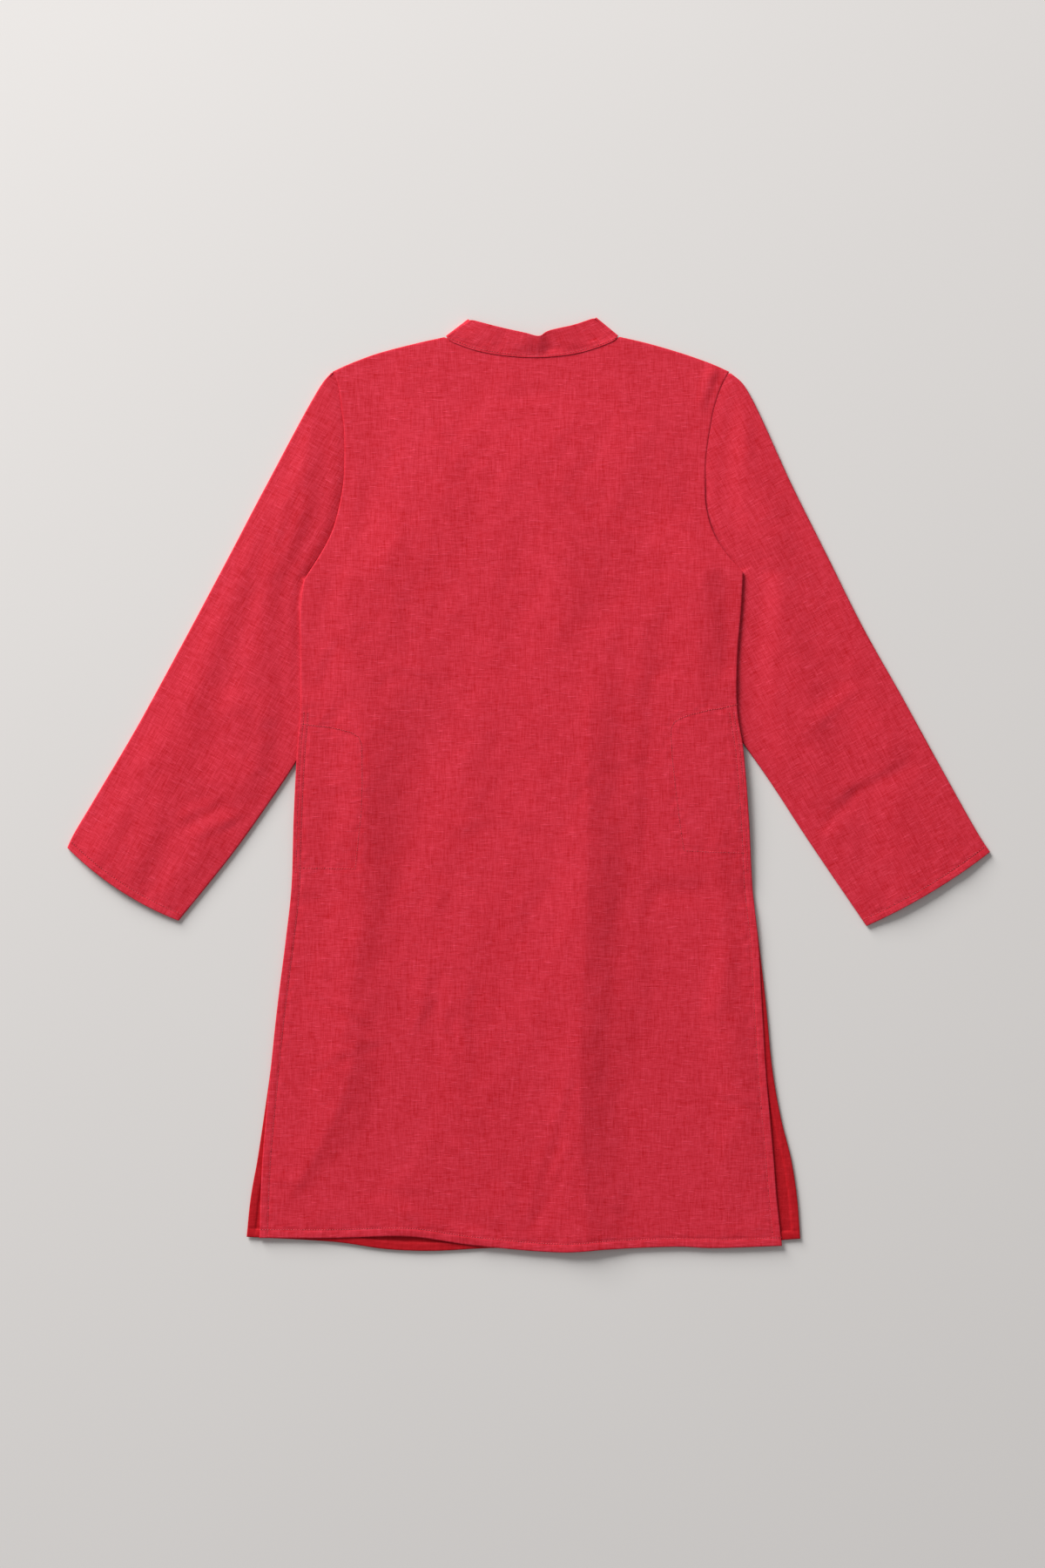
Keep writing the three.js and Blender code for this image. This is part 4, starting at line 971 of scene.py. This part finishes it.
# slopes of the sleeves, as for the back
sleeveSlopes = [
    ([(-268, 36), (-214, 214)], 30, 0.085),
    ([(-300, -60), (-262, 30)], 34, 0.060),
    ([(-322, -96), (-296, -30)], 26, 0.060),
    ([(-232, 60), (-206, 150)], 24, 0.045),
    ([(-280, -30), (-254, -16)], 12, 0.075),
    ([(-246, -34), (-224, -22)], 10, 0.060),
    ([(-268, -44), (-240, -30)], 10, 0.040),
    ([(-206, 50), (-188, 60)], 10, 0.060),
    ([(-214, 30), (-196, 36)], 9, 0.045),
    ([(-222, 8), (-202, 16)], 8, 0.040),
    ([(-196, 150), (-180, 216)], 14, 0.025),
    ([(-206, 190), (-190, 240)], 14, 0.030),
    ([(-182, 250), (-174, 300)], 16, 0.030),
    ([(-168, 306), (-163, 326)], 9, 0.16),
    ([(-340, -50), (-300, 24)], 22, 0.030),
    ([(214, 206), (196, 268)], 24, 0.035),
    ([(244, 60), (216, 206)], 44, 0.085),
    ([(266, -20), (246, 66)], 36, 0.060),
    ([(280, -88), (266, -24)], 30, 0.075),
    ([(236, -34), (262, -6)], 12, 0.055),
    ([(262, -6), (302, 16)], 9, 0.050),
    ([(240, 50), (262, 70)], 12, 0.045),
    ([(216, -30), (240, -44)], 10, 0.040),
    ([(206, 24), (224, 8)], 9, 0.030),
    ([(190, 90), (204, 60)], 14, 0.025),
    ([(318, -60), (300, 20)], 30, 0.035),
    ([(184, 262), (176, 316)], 14, 0.035),
]


def sleeveRows(side):
    cut = sleeveCut[side]
    fold, inner = curveThrough(cut["outer"]), curveThrough(cut["inner"])
    armhole = curveThrough(sideLine("front", side)[0])
    t = np.arange(0, 1, sleeveLook["spacing"] / armhole.length)
    start = sleeveLoft["fold"] / armhole.length
    body = mix(start, 1, t)
    run = armhole(np.clip(body + 0.01, 0, 1)) - armhole(np.clip(body - 0.01, 0, 1))
    run /= np.linalg.norm(run, axis=1)[:, None]
    # the seam allowance, and the part of the sleeve that the body covers
    under = sleeveLook["under"] + sleeveLook["tip"] * np.exp(-t * armhole.length / sleeveLook["tipReach"])
    beside = armhole(body) - under[:, None] * cut["outward"] * np.stack([-run[:, 1], run[:, 0]], axis=1)
    down = linesAcross(inner.length, sleeveLook["spacing"], [0], edgeLines)
    covered = inner(down)
    fromUnderarm = down * inner.length
    tuckedIn = smooth((fromUnderarm + 8) / 12) * smooth((46 - fromUnderarm) / 26)
    covered[:, 0] -= cut["outward"] * sleeveLook["tuckedIn"] * tuckedIn
    covered[0] = mix(covered[0], beside[-1], 0.4)
    along = fold(1.0) - fold(0.98)
    return dict(
        fold=np.concatenate([fold(t * cut["armholeShare"]), fold(mix(cut["armholeShare"], 1, down))]),
        body=np.concatenate([beside, covered]), down=np.concatenate([np.zeros(len(t)), down]),
        open=len(t), length=inner.length, axis=along / np.linalg.norm(along), bulge=cut["cuffBulge"])


def besideCuff(rows, share, bulge):
    # a line from the outer fold to the body's side, bowed out towards the cuff
    return rows["axis"] * (bulge * 4 * share * (1 - share))[:, None]


def sleeveFaces(side):
    rows = sleeveRows(side)
    half = sleeveLoft["fold"] / 2
    fold, body = rows["fold"], rows["body"]
    width = np.linalg.norm(fold - body, axis=1)
    isOpen = np.arange(len(width)) < rows["open"]
    bulge = rows["bulge"] * smooth((rows["down"] - sleeveLook["cuffStart"]) / (1 - sleeveLook["cuffStart"]))
    fromCuff = (1 - rows["down"]) * rows["length"]
    band = smooth((panelLook["slitEdge"] - fromCuff) / panelLook["hemRamp"])
    rowSeam = np.abs(fromCuff - sleeveLook["cuffRow"])

    def spotAt(a):
        share = a / width
        return fold + (body - fold) * share[:, None] + besideCuff(rows, share, bulge)

    def upperTop(a):
        spot = spotAt(a)
        x, y = spot[:, 0], spot[:, 1]
        fromBody = width - a
        under = np.where(isOpen, sleeveUnder(x, y, a, fromBody, True), sleeveUnder(x, y, a, fromBody, False))
        free = smooth((-insideSides(x, y) - sleeveLoft["clear"]) / sleeveLoft["beside"])
        free = free * smooth((a - 1) / 18) * smooth((fromBody - 1) / 20)
        relief = slopesAt(sleeveSlopes, x, y) + rumplesAt(sleeveRumples, x, y)
        tip = np.exp(-(((y - seamSink["tipAt"]) / seamSink["tipLong"]) ** 2))
        sink = seamSink["even"] + seamSink["lap"] * lapShare(y) + seamSink["tip"] * tip
        sink = sink * np.exp(-((fromBody / seamSink["reach"]) ** 2)) * isOpen
        sink += seamSink["edge"] * np.exp(-((fromBody / seamSink["edgeReach"]) ** 2)) * isOpen
        # the sleeve dips where the side of the body lies on it
        low = smooth((sideSink["top"] - y) / sideSink["ramp"]) * smooth((y - sideSink["bottom"]) / sideSink["fall"])
        sink += low * np.exp(-(((insideSides(x, y) + 1) / sideSink["reach"]) ** 2)) * ~isOpen
        sink *= sleeveLook["sink"][side]
        ripple = panelLook["ripple"] * rumple(x, y, 7, 44, spread=1.4) * np.exp(-((rowSeam / 5) ** 2))
        groove = panelLook["groove"] * sleeveLook["groove"]
        groove = groove * np.exp(-((rowSeam / panelLook["grooveWide"]) ** 2))
        return under + cloth + relief * free - sink + band * sleeveLook["hemStep"] + ripple - groove

    # once round the sleeve: its seam, the upper side, the outer fold and the lower side
    angles = np.linspace(math.pi / 2, 0, sleeveLook["bendSteps"])
    shares = np.linspace(0, 1, sleeveLook["acrossSteps"])[1:-1]
    columns = [(kind, value, up) for kind, values, up in (
        ("body", angles[::-1], 1), ("layer", shares[::-1], 1), ("fold", angles, 1),
        ("fold", angles[::-1][1:], -1), ("layer", shares, -1), ("body", angles, -1)) for value in values]

    faces = []
    for inside in (False, True):
        thick = mix(sleeveLook["cloth"], sleeveLook["hemCloth"], band) if inside else np.zeros(len(width))
        grid = []
        for kind, value, up in columns:
            radius = half - thick
            if kind == "layer":
                a = mix(half, width - half, value)
                z = upperTop(a) - thick if up > 0 else thick
            else:
                reach = half - radius * math.cos(value)
                a = reach if kind == "fold" else width - reach
                z = half + up * radius * math.sin(value)
                if kind == "body":
                    flatA = width - (half - half * math.cos(value))
                    flatZ = upperTop(flatA) - thick if up > 0 else thick
                    a, z = np.where(isOpen, flatA, a), np.where(isOpen, flatZ, z)
            grid.append(lift(spotAt(a), z + np.zeros(len(width))))
        faces.append(np.stack(grid, axis=1))
    outer, inner = closeIn(*faces, fromCuff[:, None, None], sleeveLook["pressed"])

    # plan of the cloth along the sleeve, unrolled round its outer fold
    along = rows["fold"][-1] - rows["fold"][0]
    along /= np.linalg.norm(along)
    across = np.array([-along[1], along[0]])
    u, v = outer[..., :2] @ across, outer[..., :2] @ along
    foldU = (fold @ across)[:, None]
    lower = np.array([up for _, _, up in columns]) < 0
    u = np.where(lower[None, :], 2 * foldU - u, u)
    fromArmhole = np.where(isOpen, 0, 30)[:, None] + np.abs(outer[..., :2] - body[:, None]).sum(axis=2)
    return outer, inner, np.stack([u, v], axis=-1), rows, np.minimum(rowSeam[:, None], fromArmhole + 2)


sleeves = {}
for side in ("left", "right"):
    outer, inner, plan, rows, fromSeam = sleeveFaces(side)
    sleeves[side] = shell("sleeve" + side.capitalize(), outer, inner, plan, joinedFrom=rows["open"])
    used = np.ones(fromSeam.shape, bool)
    used[rows["open"]:, -1] = False
    addSeamDistance(sleeves[side], fromSeam[used])
    dress(sleeves[side], "sleeve_" + side, linen["sleeve"])
    print("sleeve cut", side, len(sleeves[side].data.polygons))


# collar

collarLook = dict(cloth=1.0, over=1.5, seamRow=2.0, stations=64, frontStations=44, turns=9, spacing=1.6,
                  footStart=0.45, groove=0.22, grooveWide=0.7, pressed=0.7, seamScale=17)
# waves of the collar's back half: share along it, share of its height, reach of both, height
collarWaves = [
    (0.30, 0.60, 0.05, 0.9, -0.35),
    (0.12, 0.70, 0.08, 0.8, 0.35),
    (0.46, 0.75, 0.06, 0.6, 0.55),
    (0.55, 0.70, 0.035, 0.8, 0.70),
    (0.62, 0.45, 0.06, 0.9, -0.75),
    (0.76, 0.65, 0.06, 0.8, 0.45),
    (0.90, 0.55, 0.08, 0.8, -0.45),
    (0.55, 0.12, 0.14, 0.30, -0.60),
]


def collarFaces():
    bendRadius = bandCloth + collarBand["foldGap"] / 2
    frontNeck, backNeck = curveThrough(neckline["front"]), curveThrough(neckline["back"])
    upperEdge = curveThrough(collarTop)
    nearFoot = [0, 0.15, 0.4, 0.8, 1.4, 2.0, 2.6]
    highs = linesAcross(collarBand["height"], collarLook["spacing"], nearFoot, nearFoot[:5])
    fromRow = highs * collarLook["seamScale"] - collarLook["seamRow"]
    ends = []
    for k, sign in ((0, 1), (-1, -1)):
        foot, head = np.array(neckline["back"][k]), np.array(collarTop[k])
        rising = (head - foot) / np.linalg.norm(head - foot)
        outward = sign * np.array([-rising[1], rising[0]])
        shift = -bendRadius * outward
        ends.append((foot + collarBand["seat"] * rising + shift, head + shift, outward))

    def station(foot, head, outerZ, innerZ):
        spots = foot + (head - foot) * highs[:, None]
        return (lift(spots, outerZ + 0 * highs), lift(spots, innerZ + 0 * highs))

    def frontHalf(side):
        k = 0 if side == "left" else -1
        footEnd, headEnd, _ = ends[k]
        found = []
        for t in np.linspace(0.5, 0 if side == "left" else 1, collarLook["frontStations"]):
            share = abs(t - 0.5) / 0.5
            run = frontNeck(min(t + 0.004, 1)) - frontNeck(max(t - 0.004, 0))
            run /= np.linalg.norm(run)
            inward = np.array([-run[1], run[0]])
            foot = frontNeck(t) + inward * collarLook["footStart"]
            head = foot + inward * collarBand["height"] + (headEnd - collarTop[k]) * smooth(share) ** 2
            apart = (-1 if side == "left" else 1) * collarBand["opening"] * (1 - smooth(share * 8))
            late = smooth((share - 0.8) / 0.2)
            foot = mix(foot + (apart, 0), footEnd, late)
            head = mix(head + (apart, 0), headEnd, late)
            found.append(station(foot, head, 0, collarLook["cloth"]))
        return found

    def bend(end, angle):
        foot, head, outward = end
        middle = foot + (head - foot) * highs[:, None]
        return tuple(lift(middle + outward * radius * math.cos(angle),
                          bendRadius + radius * math.sin(angle) + 0 * highs)
                     for radius in (bendRadius, bendRadius - collarLook["cloth"]))

    def standing(t):
        foot, head = backNeck(t) - (0, collarLook["over"]), upperEdge(t)
        nearEnd = 1 - smooth(min(t, 1 - t) / 0.05)
        end = ends[0] if t < 0.5 else ends[1]
        foot, head = mix(foot, end[0], nearEnd), mix(head, end[1], nearEnd)
        z = 2 * bandCloth + collarBand["foldGap"] + collarBand["stand"] * highs * math.sin(math.pi * t) ** 2
        sewn = smooth((highs - 0.04) / 0.3)     # the foot stays down on the back
        for along, up, wide, tall, high in collarWaves:
            wave = high * np.exp(-(((t - along) / wide) ** 2) - (((highs - up) / tall) ** 2))
            z = z + wave * (1 - nearEnd) * sewn
        z = z - collarLook["groove"] * np.exp(-((fromRow / collarLook["grooveWide"]) ** 2)) * (1 - nearEnd)
        spots = foot + (head - foot) * highs[:, None]
        return (lift(spots, z), lift(spots, z - collarLook["cloth"]))

    turn = np.linspace(-math.pi / 2, math.pi / 2, collarLook["turns"])[1:-1]
    stations = frontHalf("left")[:-1]
    stations += [bend(ends[0], angle) for angle in turn]
    stations += [standing(t) for t in np.linspace(0, 1, collarLook["stations"])]
    stations += [bend(ends[1], angle) for angle in turn[::-1]]
    stations += frontHalf("right")[::-1][1:]
    outer, inner = (np.stack([pair[k] for pair in stations]) for k in range(2))
    # the upper edge is folded over and pressed round
    away = (np.minimum(1 - highs, 1)[None, :] * collarBand["height"])[..., None]
    outer, inner = closeIn(outer, inner, away, collarLook["pressed"])
    run = np.concatenate([[0], np.cumsum(np.linalg.norm(np.diff(outer[:, len(highs) // 2], axis=0), axis=1))])
    plan = np.stack(np.broadcast_arrays(run[:, None], highs[None, :] * collarBand["height"]), axis=-1)
    fromSeam = np.abs(fromRow)[None, :] + 0 * run[:, None]
    return outer, inner, plan, fromSeam


outer, inner, plan, fromSeam = collarFaces()
collarPiece = shell("collarBand", outer, inner, plan)
addSeamDistance(collarPiece, fromSeam)
dress(collarPiece, "collar", linen["collar"])
print("collar folded")


# placket, pocket bags and buttons, hidden below and between the panels

placketLook = dict(spacing=1.6, lengthways=2.4, low=0.05, ridge=0.18, ridgeWide=0.8, pressed=0.7)


def placketFaces():
    half, long = placket["width"] / 2, placket["top"] - placket["bottom"]
    sideLines, endLines = [0, 0.2, 0.6, 1.2, 3.0, 4.0, 4.5, 5.0], [0, 0.2, 0.6, 1.2]
    across = linesAcross(placket["width"], placketLook["spacing"], sideLines, sideLines)
    down = linesAcross(long, placketLook["lengthways"], endLines, endLines + [3, 4, 5, 6])
    x = placket["centre"] - half + placket["width"] * across[None, :] + 0 * down[:, None]
    y = placket["top"] - long * down[:, None] + 0 * across[None, :]
    fromSide = half - np.abs(x - placket["centre"])
    fromRow = np.abs(fromSide - placket["hem"])
    z = buttonRise(x, y) + placketLook["ridge"] * np.exp(-((fromRow / placketLook["ridgeWide"]) ** 2))
    z = z + placketLook["low"] * (1 + rumple(x, y, 9, 51)) * 0.5
    edge = np.minimum(fromSide, np.minimum(placket["top"] - y, y - placket["bottom"]))
    top, under = closeIn(buttonRise(x, y) + bandCloth, z, edge, placketLook["pressed"])
    plan = np.stack([x, y], axis=-1)
    return lift(plan, top), lift(plan, under), plan, fromRow


outer, inner, plan, fromRow = placketFaces()
placketPiece = shell("placketStrip", outer, inner, plan)
addSeamDistance(placketPiece, fromRow)
# the placket takes the front's darker linen: painted shade
dress(placketPiece, "placket", linen["front"])

pocketLook = dict(long=44, wide=22, below=0.75, cloth=0.6, pressed=0.4, fromSeam=30.0)
for side in ("left", "right"):
    rows = pocketCut[side]
    inward = 1 if side == "left" else -1
    share = np.linspace(0, 1, pocketLook["long"])
    mark = np.linspace(0, 1, len(rows))
    mouthY = np.interp(share, mark, [row[0] for row in rows])
    mouth = np.stack([edgeAt(side, mouthY) + inward * pocketSpace["inset"], mouthY], axis=-1)
    far = np.stack([np.interp(share, mark, [row[k] for row in rows]) for k in (1, 2)], axis=-1)
    plan = mouth[:, None] + (far - mouth)[:, None] * np.linspace(0, 1, pocketLook["wide"])[None, :, None]
    top = backTop(plan[..., 0], plan[..., 1]) - panelLook["cloth"] - pocketLook["below"]
    away = np.minimum.reduce([awayFrom(plan, edge) for edge in (plan[:, -1:], plan[:1], plan[-1:])])
    top, under = closeIn(top, top - pocketLook["cloth"], away, pocketLook["pressed"])
    bag = shell("pocket" + side.capitalize(), lift(plan, top), lift(plan, under), plan)
    addSeamDistance(bag, np.full(plan.shape[:2], pocketLook["fromSeam"]))
    # the pocket bags take the front's darker linen: painted shade
    dress(bag, "pocket_" + side, linen["front"])
print("placket and pocket bags cut")

# profile: radius and height of the disc's section, from the middle of its dish round to its back
buttonLook = dict(holes=4, holeCircle=1.8, holeRadius=0.8, holeSides=20, drill=6, around=48, profile=[
    (0.0, 0.35), (2.9, 0.35), (3.6, 0.12), (4.4, 0.0), (5.0, 0.08), (5.35, 0.35), (5.5, 0.8), (5.5, 1.3),
    (5.3, 1.7), (4.9, 1.95), (4.2, 2.0), (0.0, 2.0)])


def turned(radius, k, count):
    angle = 2 * math.pi * k / count
    return radius * mm * math.cos(angle), radius * mm * math.sin(angle)


def evaluated(piece):
    # the piece's modifiers worked into a plain mesh, and taken off
    bpy.context.view_layer.update()
    mesh = bpy.data.meshes.new_from_object(piece.evaluated_get(bpy.context.evaluated_depsgraph_get()))
    piece.modifiers.clear()
    return mesh


def buttonMesh(name, y):
    # a dished disc turned from its profile, then drilled
    look, around = buttonLook, buttonLook["around"]
    build = bmesh.new()
    rings = []
    for radius, z in look["profile"]:
        count = around if radius else 1
        rings.append([build.verts.new((*turned(radius, k, around), z * mm)) for k in range(count)])
    for low, high in zip(rings, rings[1:]):
        for k in range(around):
            a, b = low[k % len(low)], low[(k + 1) % len(low)]
            c, d = high[(k + 1) % len(high)], high[k % len(high)]
            build.faces.new([v for n, v in enumerate((a, b, c, d)) if v not in (a, b, c, d)[:n]])
    bmesh.ops.recalc_face_normals(build, faces=build.faces)
    mesh = bpy.data.meshes.new(name)
    build.to_mesh(mesh)
    build.free()
    disc = place(name, mesh)
    for k in range(look["holes"]):
        drill = bmesh.new()
        bmesh.ops.create_cone(drill, cap_ends=True, segments=look["holeSides"], radius1=look["holeRadius"] * mm,
                              radius2=look["holeRadius"] * mm, depth=look["drill"] * mm)
        bmesh.ops.translate(drill, verts=drill.verts, vec=(*turned(look["holeCircle"], k, look["holes"]), 0))
        drillMesh = bpy.data.meshes.new("drill")
        drill.to_mesh(drillMesh)
        drill.free()
        tool = place("drill", drillMesh)
        cut = disc.modifiers.new("hole", "BOOLEAN")
        cut.operation = "DIFFERENCE"
        cut.object = tool
        disc.data = evaluated(disc)
        bpy.data.objects.remove(tool)
    disc.data.name = name
    moved = np.zeros(3 * len(disc.data.vertices))
    disc.data.vertices.foreach_get("co", moved)
    moved = moved.reshape(-1, 3) + np.array([placket["centre"] * mm, y * mm, 0])
    disc.data.vertices.foreach_set("co", moved.ravel())
    return disc


redButton = makeMottled("redButton", 260, (0.30, 0.012, 0.022, 1), (0.46, 0.030, 0.045, 1), (0.28, 0.42),
                        distortion=1.4)[0]
for k, y in enumerate(buttonPlaces):
    disc = buttonMesh("button%d" % (k + 1), y)
    dress(disc, "button_%d" % (k + 1), redButton)
print("buttons turned")


# stitching, sewn along the rows once the cloth is laid

def makeStitching():
    tree = bpy.data.node_groups.new("sewStitches", "GeometryNodeTree")
    face, add, link = tree.interface, tree.nodes.new, tree.links.new
    face.new_socket("Geometry", in_out="INPUT", socket_type="NodeSocketGeometry")
    for label, kind in (("Stitch Pitch", "Float"), ("Stitch Length", "Float"), ("Stitch Width", "Float"),
                        ("Unevenness", "Float"), ("Seed", "Int"), ("Thread", "Material")):
        face.new_socket(label, in_out="INPUT", socket_type="NodeSocket" + kind)
    face.new_socket("Geometry", in_out="OUTPUT", socket_type="NodeSocketGeometry")
    start, end = add("NodeGroupInput"), add("NodeGroupOutput")
    row = add("GeometryNodeMeshToCurve")
    link(start.outputs["Geometry"], row.inputs["Mesh"])
    marks = add("GeometryNodeResampleCurve")
    marks.mode = "LENGTH"
    link(row.outputs["Curve"], marks.inputs["Curve"])
    link(start.outputs["Stitch Pitch"], marks.inputs["Length"])
    uneven = add("FunctionNodeRandomValue")
    uneven.data_type = "FLOAT_VECTOR"
    link(start.outputs["Seed"], uneven.inputs["Seed"])
    low, high = add("ShaderNodeMath"), add("ShaderNodeMath")
    low.operation, high.operation = "SUBTRACT", "ADD"
    for limit in (low, high):
        limit.inputs[0].default_value = 1
        link(start.outputs["Unevenness"], limit.inputs[1])
    link(low.outputs[0], uneven.inputs["Min"])
    link(high.outputs[0], uneven.inputs["Max"])
    size = add("ShaderNodeCombineXYZ")
    link(start.outputs["Stitch Length"], size.inputs["X"])
    link(start.outputs["Stitch Width"], size.inputs["Y"])
    link(start.outputs["Stitch Width"], size.inputs["Z"])
    scale = add("ShaderNodeVectorMath")
    scale.operation = "MULTIPLY"
    link(size.outputs[0], scale.inputs[0])
    link(uneven.outputs["Value"], scale.inputs[1])
    tangent = add("GeometryNodeInputTangent")
    turn = add("FunctionNodeAlignRotationToVector")
    turn.axis = "X"
    link(tangent.outputs["Tangent"], turn.inputs["Vector"])
    bead = add("GeometryNodeMeshUVSphere")
    bead.inputs["Segments"].default_value = 8
    bead.inputs["Rings"].default_value = 5
    bead.inputs["Radius"].default_value = 0.5
    copies = add("GeometryNodeInstanceOnPoints")
    link(marks.outputs["Curve"], copies.inputs["Points"])
    link(bead.outputs["Mesh"], copies.inputs["Instance"])
    link(turn.outputs["Rotation"], copies.inputs["Rotation"])
    link(scale.outputs["Vector"], copies.inputs["Scale"])
    real = add("GeometryNodeRealizeInstances")
    link(copies.outputs["Instances"], real.inputs["Geometry"])
    smoothed = add("GeometryNodeSetShadeSmooth")
    link(real.outputs["Geometry"], smoothed.inputs["Geometry"])
    painted = add("GeometryNodeSetMaterial")
    link(smoothed.outputs["Geometry"], painted.inputs["Geometry"])
    link(start.outputs["Thread"], painted.inputs["Material"])
    link(painted.outputs["Geometry"], end.inputs["Geometry"])
    return tree


stitching = makeStitching()
socketOf = {item.name: item.identifier for item in stitching.interface.items_tree if item.in_out == "INPUT"}


def onCloth(points, piece, fromBelow=False, height=0.00008):
    # the row's points dropped on the laid cloth
    mesh = piece.data
    tree = BVHTree.FromPolygons([v.co for v in mesh.vertices], [p.vertices for p in mesh.polygons])
    sign = -1 if fromBelow else 1
    found = []
    for x, y in np.asarray(points) * mm:
        hit = tree.ray_cast((x, y, sign * 1.0), (0, 0, -sign))
        if hit[0] is not None:
            found.append((x, y, hit[0].z + sign * height))
    return found


def sew(name, rows, look, material, seed):
    # rows are lists of points in metres; the stitches come back as one plain mesh
    spots, edges = [], []
    for row in rows:
        edges += [(len(spots) + k, len(spots) + k + 1) for k in range(len(row) - 1)]
        spots += row
    lines = bpy.data.meshes.new(name + "Lines")
    lines.from_pydata(spots, edges, [])
    rowObject = place(name + "Lines", lines)
    sewing = rowObject.modifiers.new("sewing", "NODES")
    sewing.node_group = stitching
    for label, value in (("Stitch Pitch", look["pitch"]), ("Stitch Length", look["length"]),
                         ("Stitch Width", look["width"]), ("Unevenness", look["uneven"]), ("Seed", seed),
                         ("Thread", material)):
        sewing[socketOf[label]] = value
    plain = evaluated(rowObject)
    plain.name = name
    bpy.data.objects.remove(rowObject)
    bpy.data.meshes.remove(lines)
    stitches = place(name, plain)
    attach(stitches, "root")
    return stitches


rowStep = 0.6       # how closely a row is laid out in points before it is sewn


def densely(points, step=rowStep):
    points = np.asarray(points, float)
    run = np.concatenate([[0], np.cumsum(np.linalg.norm(np.diff(points, axis=0), axis=1))])
    at = np.linspace(0, run[-1], max(2, int(run[-1] / step)))
    return np.stack([np.interp(at, run, points[:, k]) for k in range(2)], axis=1)


def holeShadeRow(row, pitch):
    # the same row, starting half a stitch later, where the dark beads of painted shade in the needle holes go
    skip = max(1, round(0.5 * pitch / mm / rowStep))
    return row[skip:]


stitchLooks = dict(
    thread=dict(pitch=0.0021, length=0.00120, width=0.00045, uneven=0.18),
    # hole: the dark beads of painted shade, sunk a little into the cloth between the stitches
    hole=dict(pitch=0.0021, length=0.00095, width=0.00072, uneven=0.35, height=-0.00012),
)
cuffLines = {}
for side in ("left", "right"):
    rows = sleeveRows(side)
    share = np.linspace(0.0, 1.0, 160)
    fold, body = rows["fold"], rows["body"][-1]
    line = fold[-1] + (body - fold[-1]) * share[:, None] + besideCuff(rows, share, rows["bulge"])
    along = (fold[-1] - fold[-12]) / np.linalg.norm(fold[-1] - fold[-12])
    cuffLines[side] = line[2:-2] - along * sleeveLook["cuffRow"]

collarSeam = np.linspace(0.03, 0.97, 120)
collarLine = curveThrough(neckline["back"])(collarSeam) + (0, collarLook["seamRow"] - collarLook["over"])

reach = placket["width"] / 2 - placket["hem"]
left, right = placket["centre"] - reach, placket["centre"] + reach
low, high = placket["bottom"] + placket["hem"], placket["top"] - 3
placketRows = [[(left, low), (left, high)], [(right, low), (right, high)], [(left, low), (right, low)]]

# the piece each seam is on, its rows, and whether it shows from below
sewnOn = dict(
    back=(backPanel, backRows + pocketRows, False),
    front=(frontPanel, frontRows, True),
    sleeveLeft=(sleeves["left"], [cuffLines["left"]], False),
    sleeveRight=(sleeves["right"], [cuffLines["right"]], False),
    collar=(collarPiece, [collarLine], False),
    placket=(placketPiece, placketRows, True),
)
for k, (name, (piece, rows, below)) in enumerate(sewnOn.items()):
    hole = stitchLooks["hole"]
    laid = [onCloth(densely(row), piece, below) for row in rows]
    holes = [holeShadeRow(onCloth(densely(row), piece, below, hole["height"]), hole["pitch"]) for row in rows]
    sew(name + "Stitches", laid, stitchLooks["thread"], thread, 7 + k)
    sew(name + "HoleShades", holes, hole, holeShade, 27 + k)
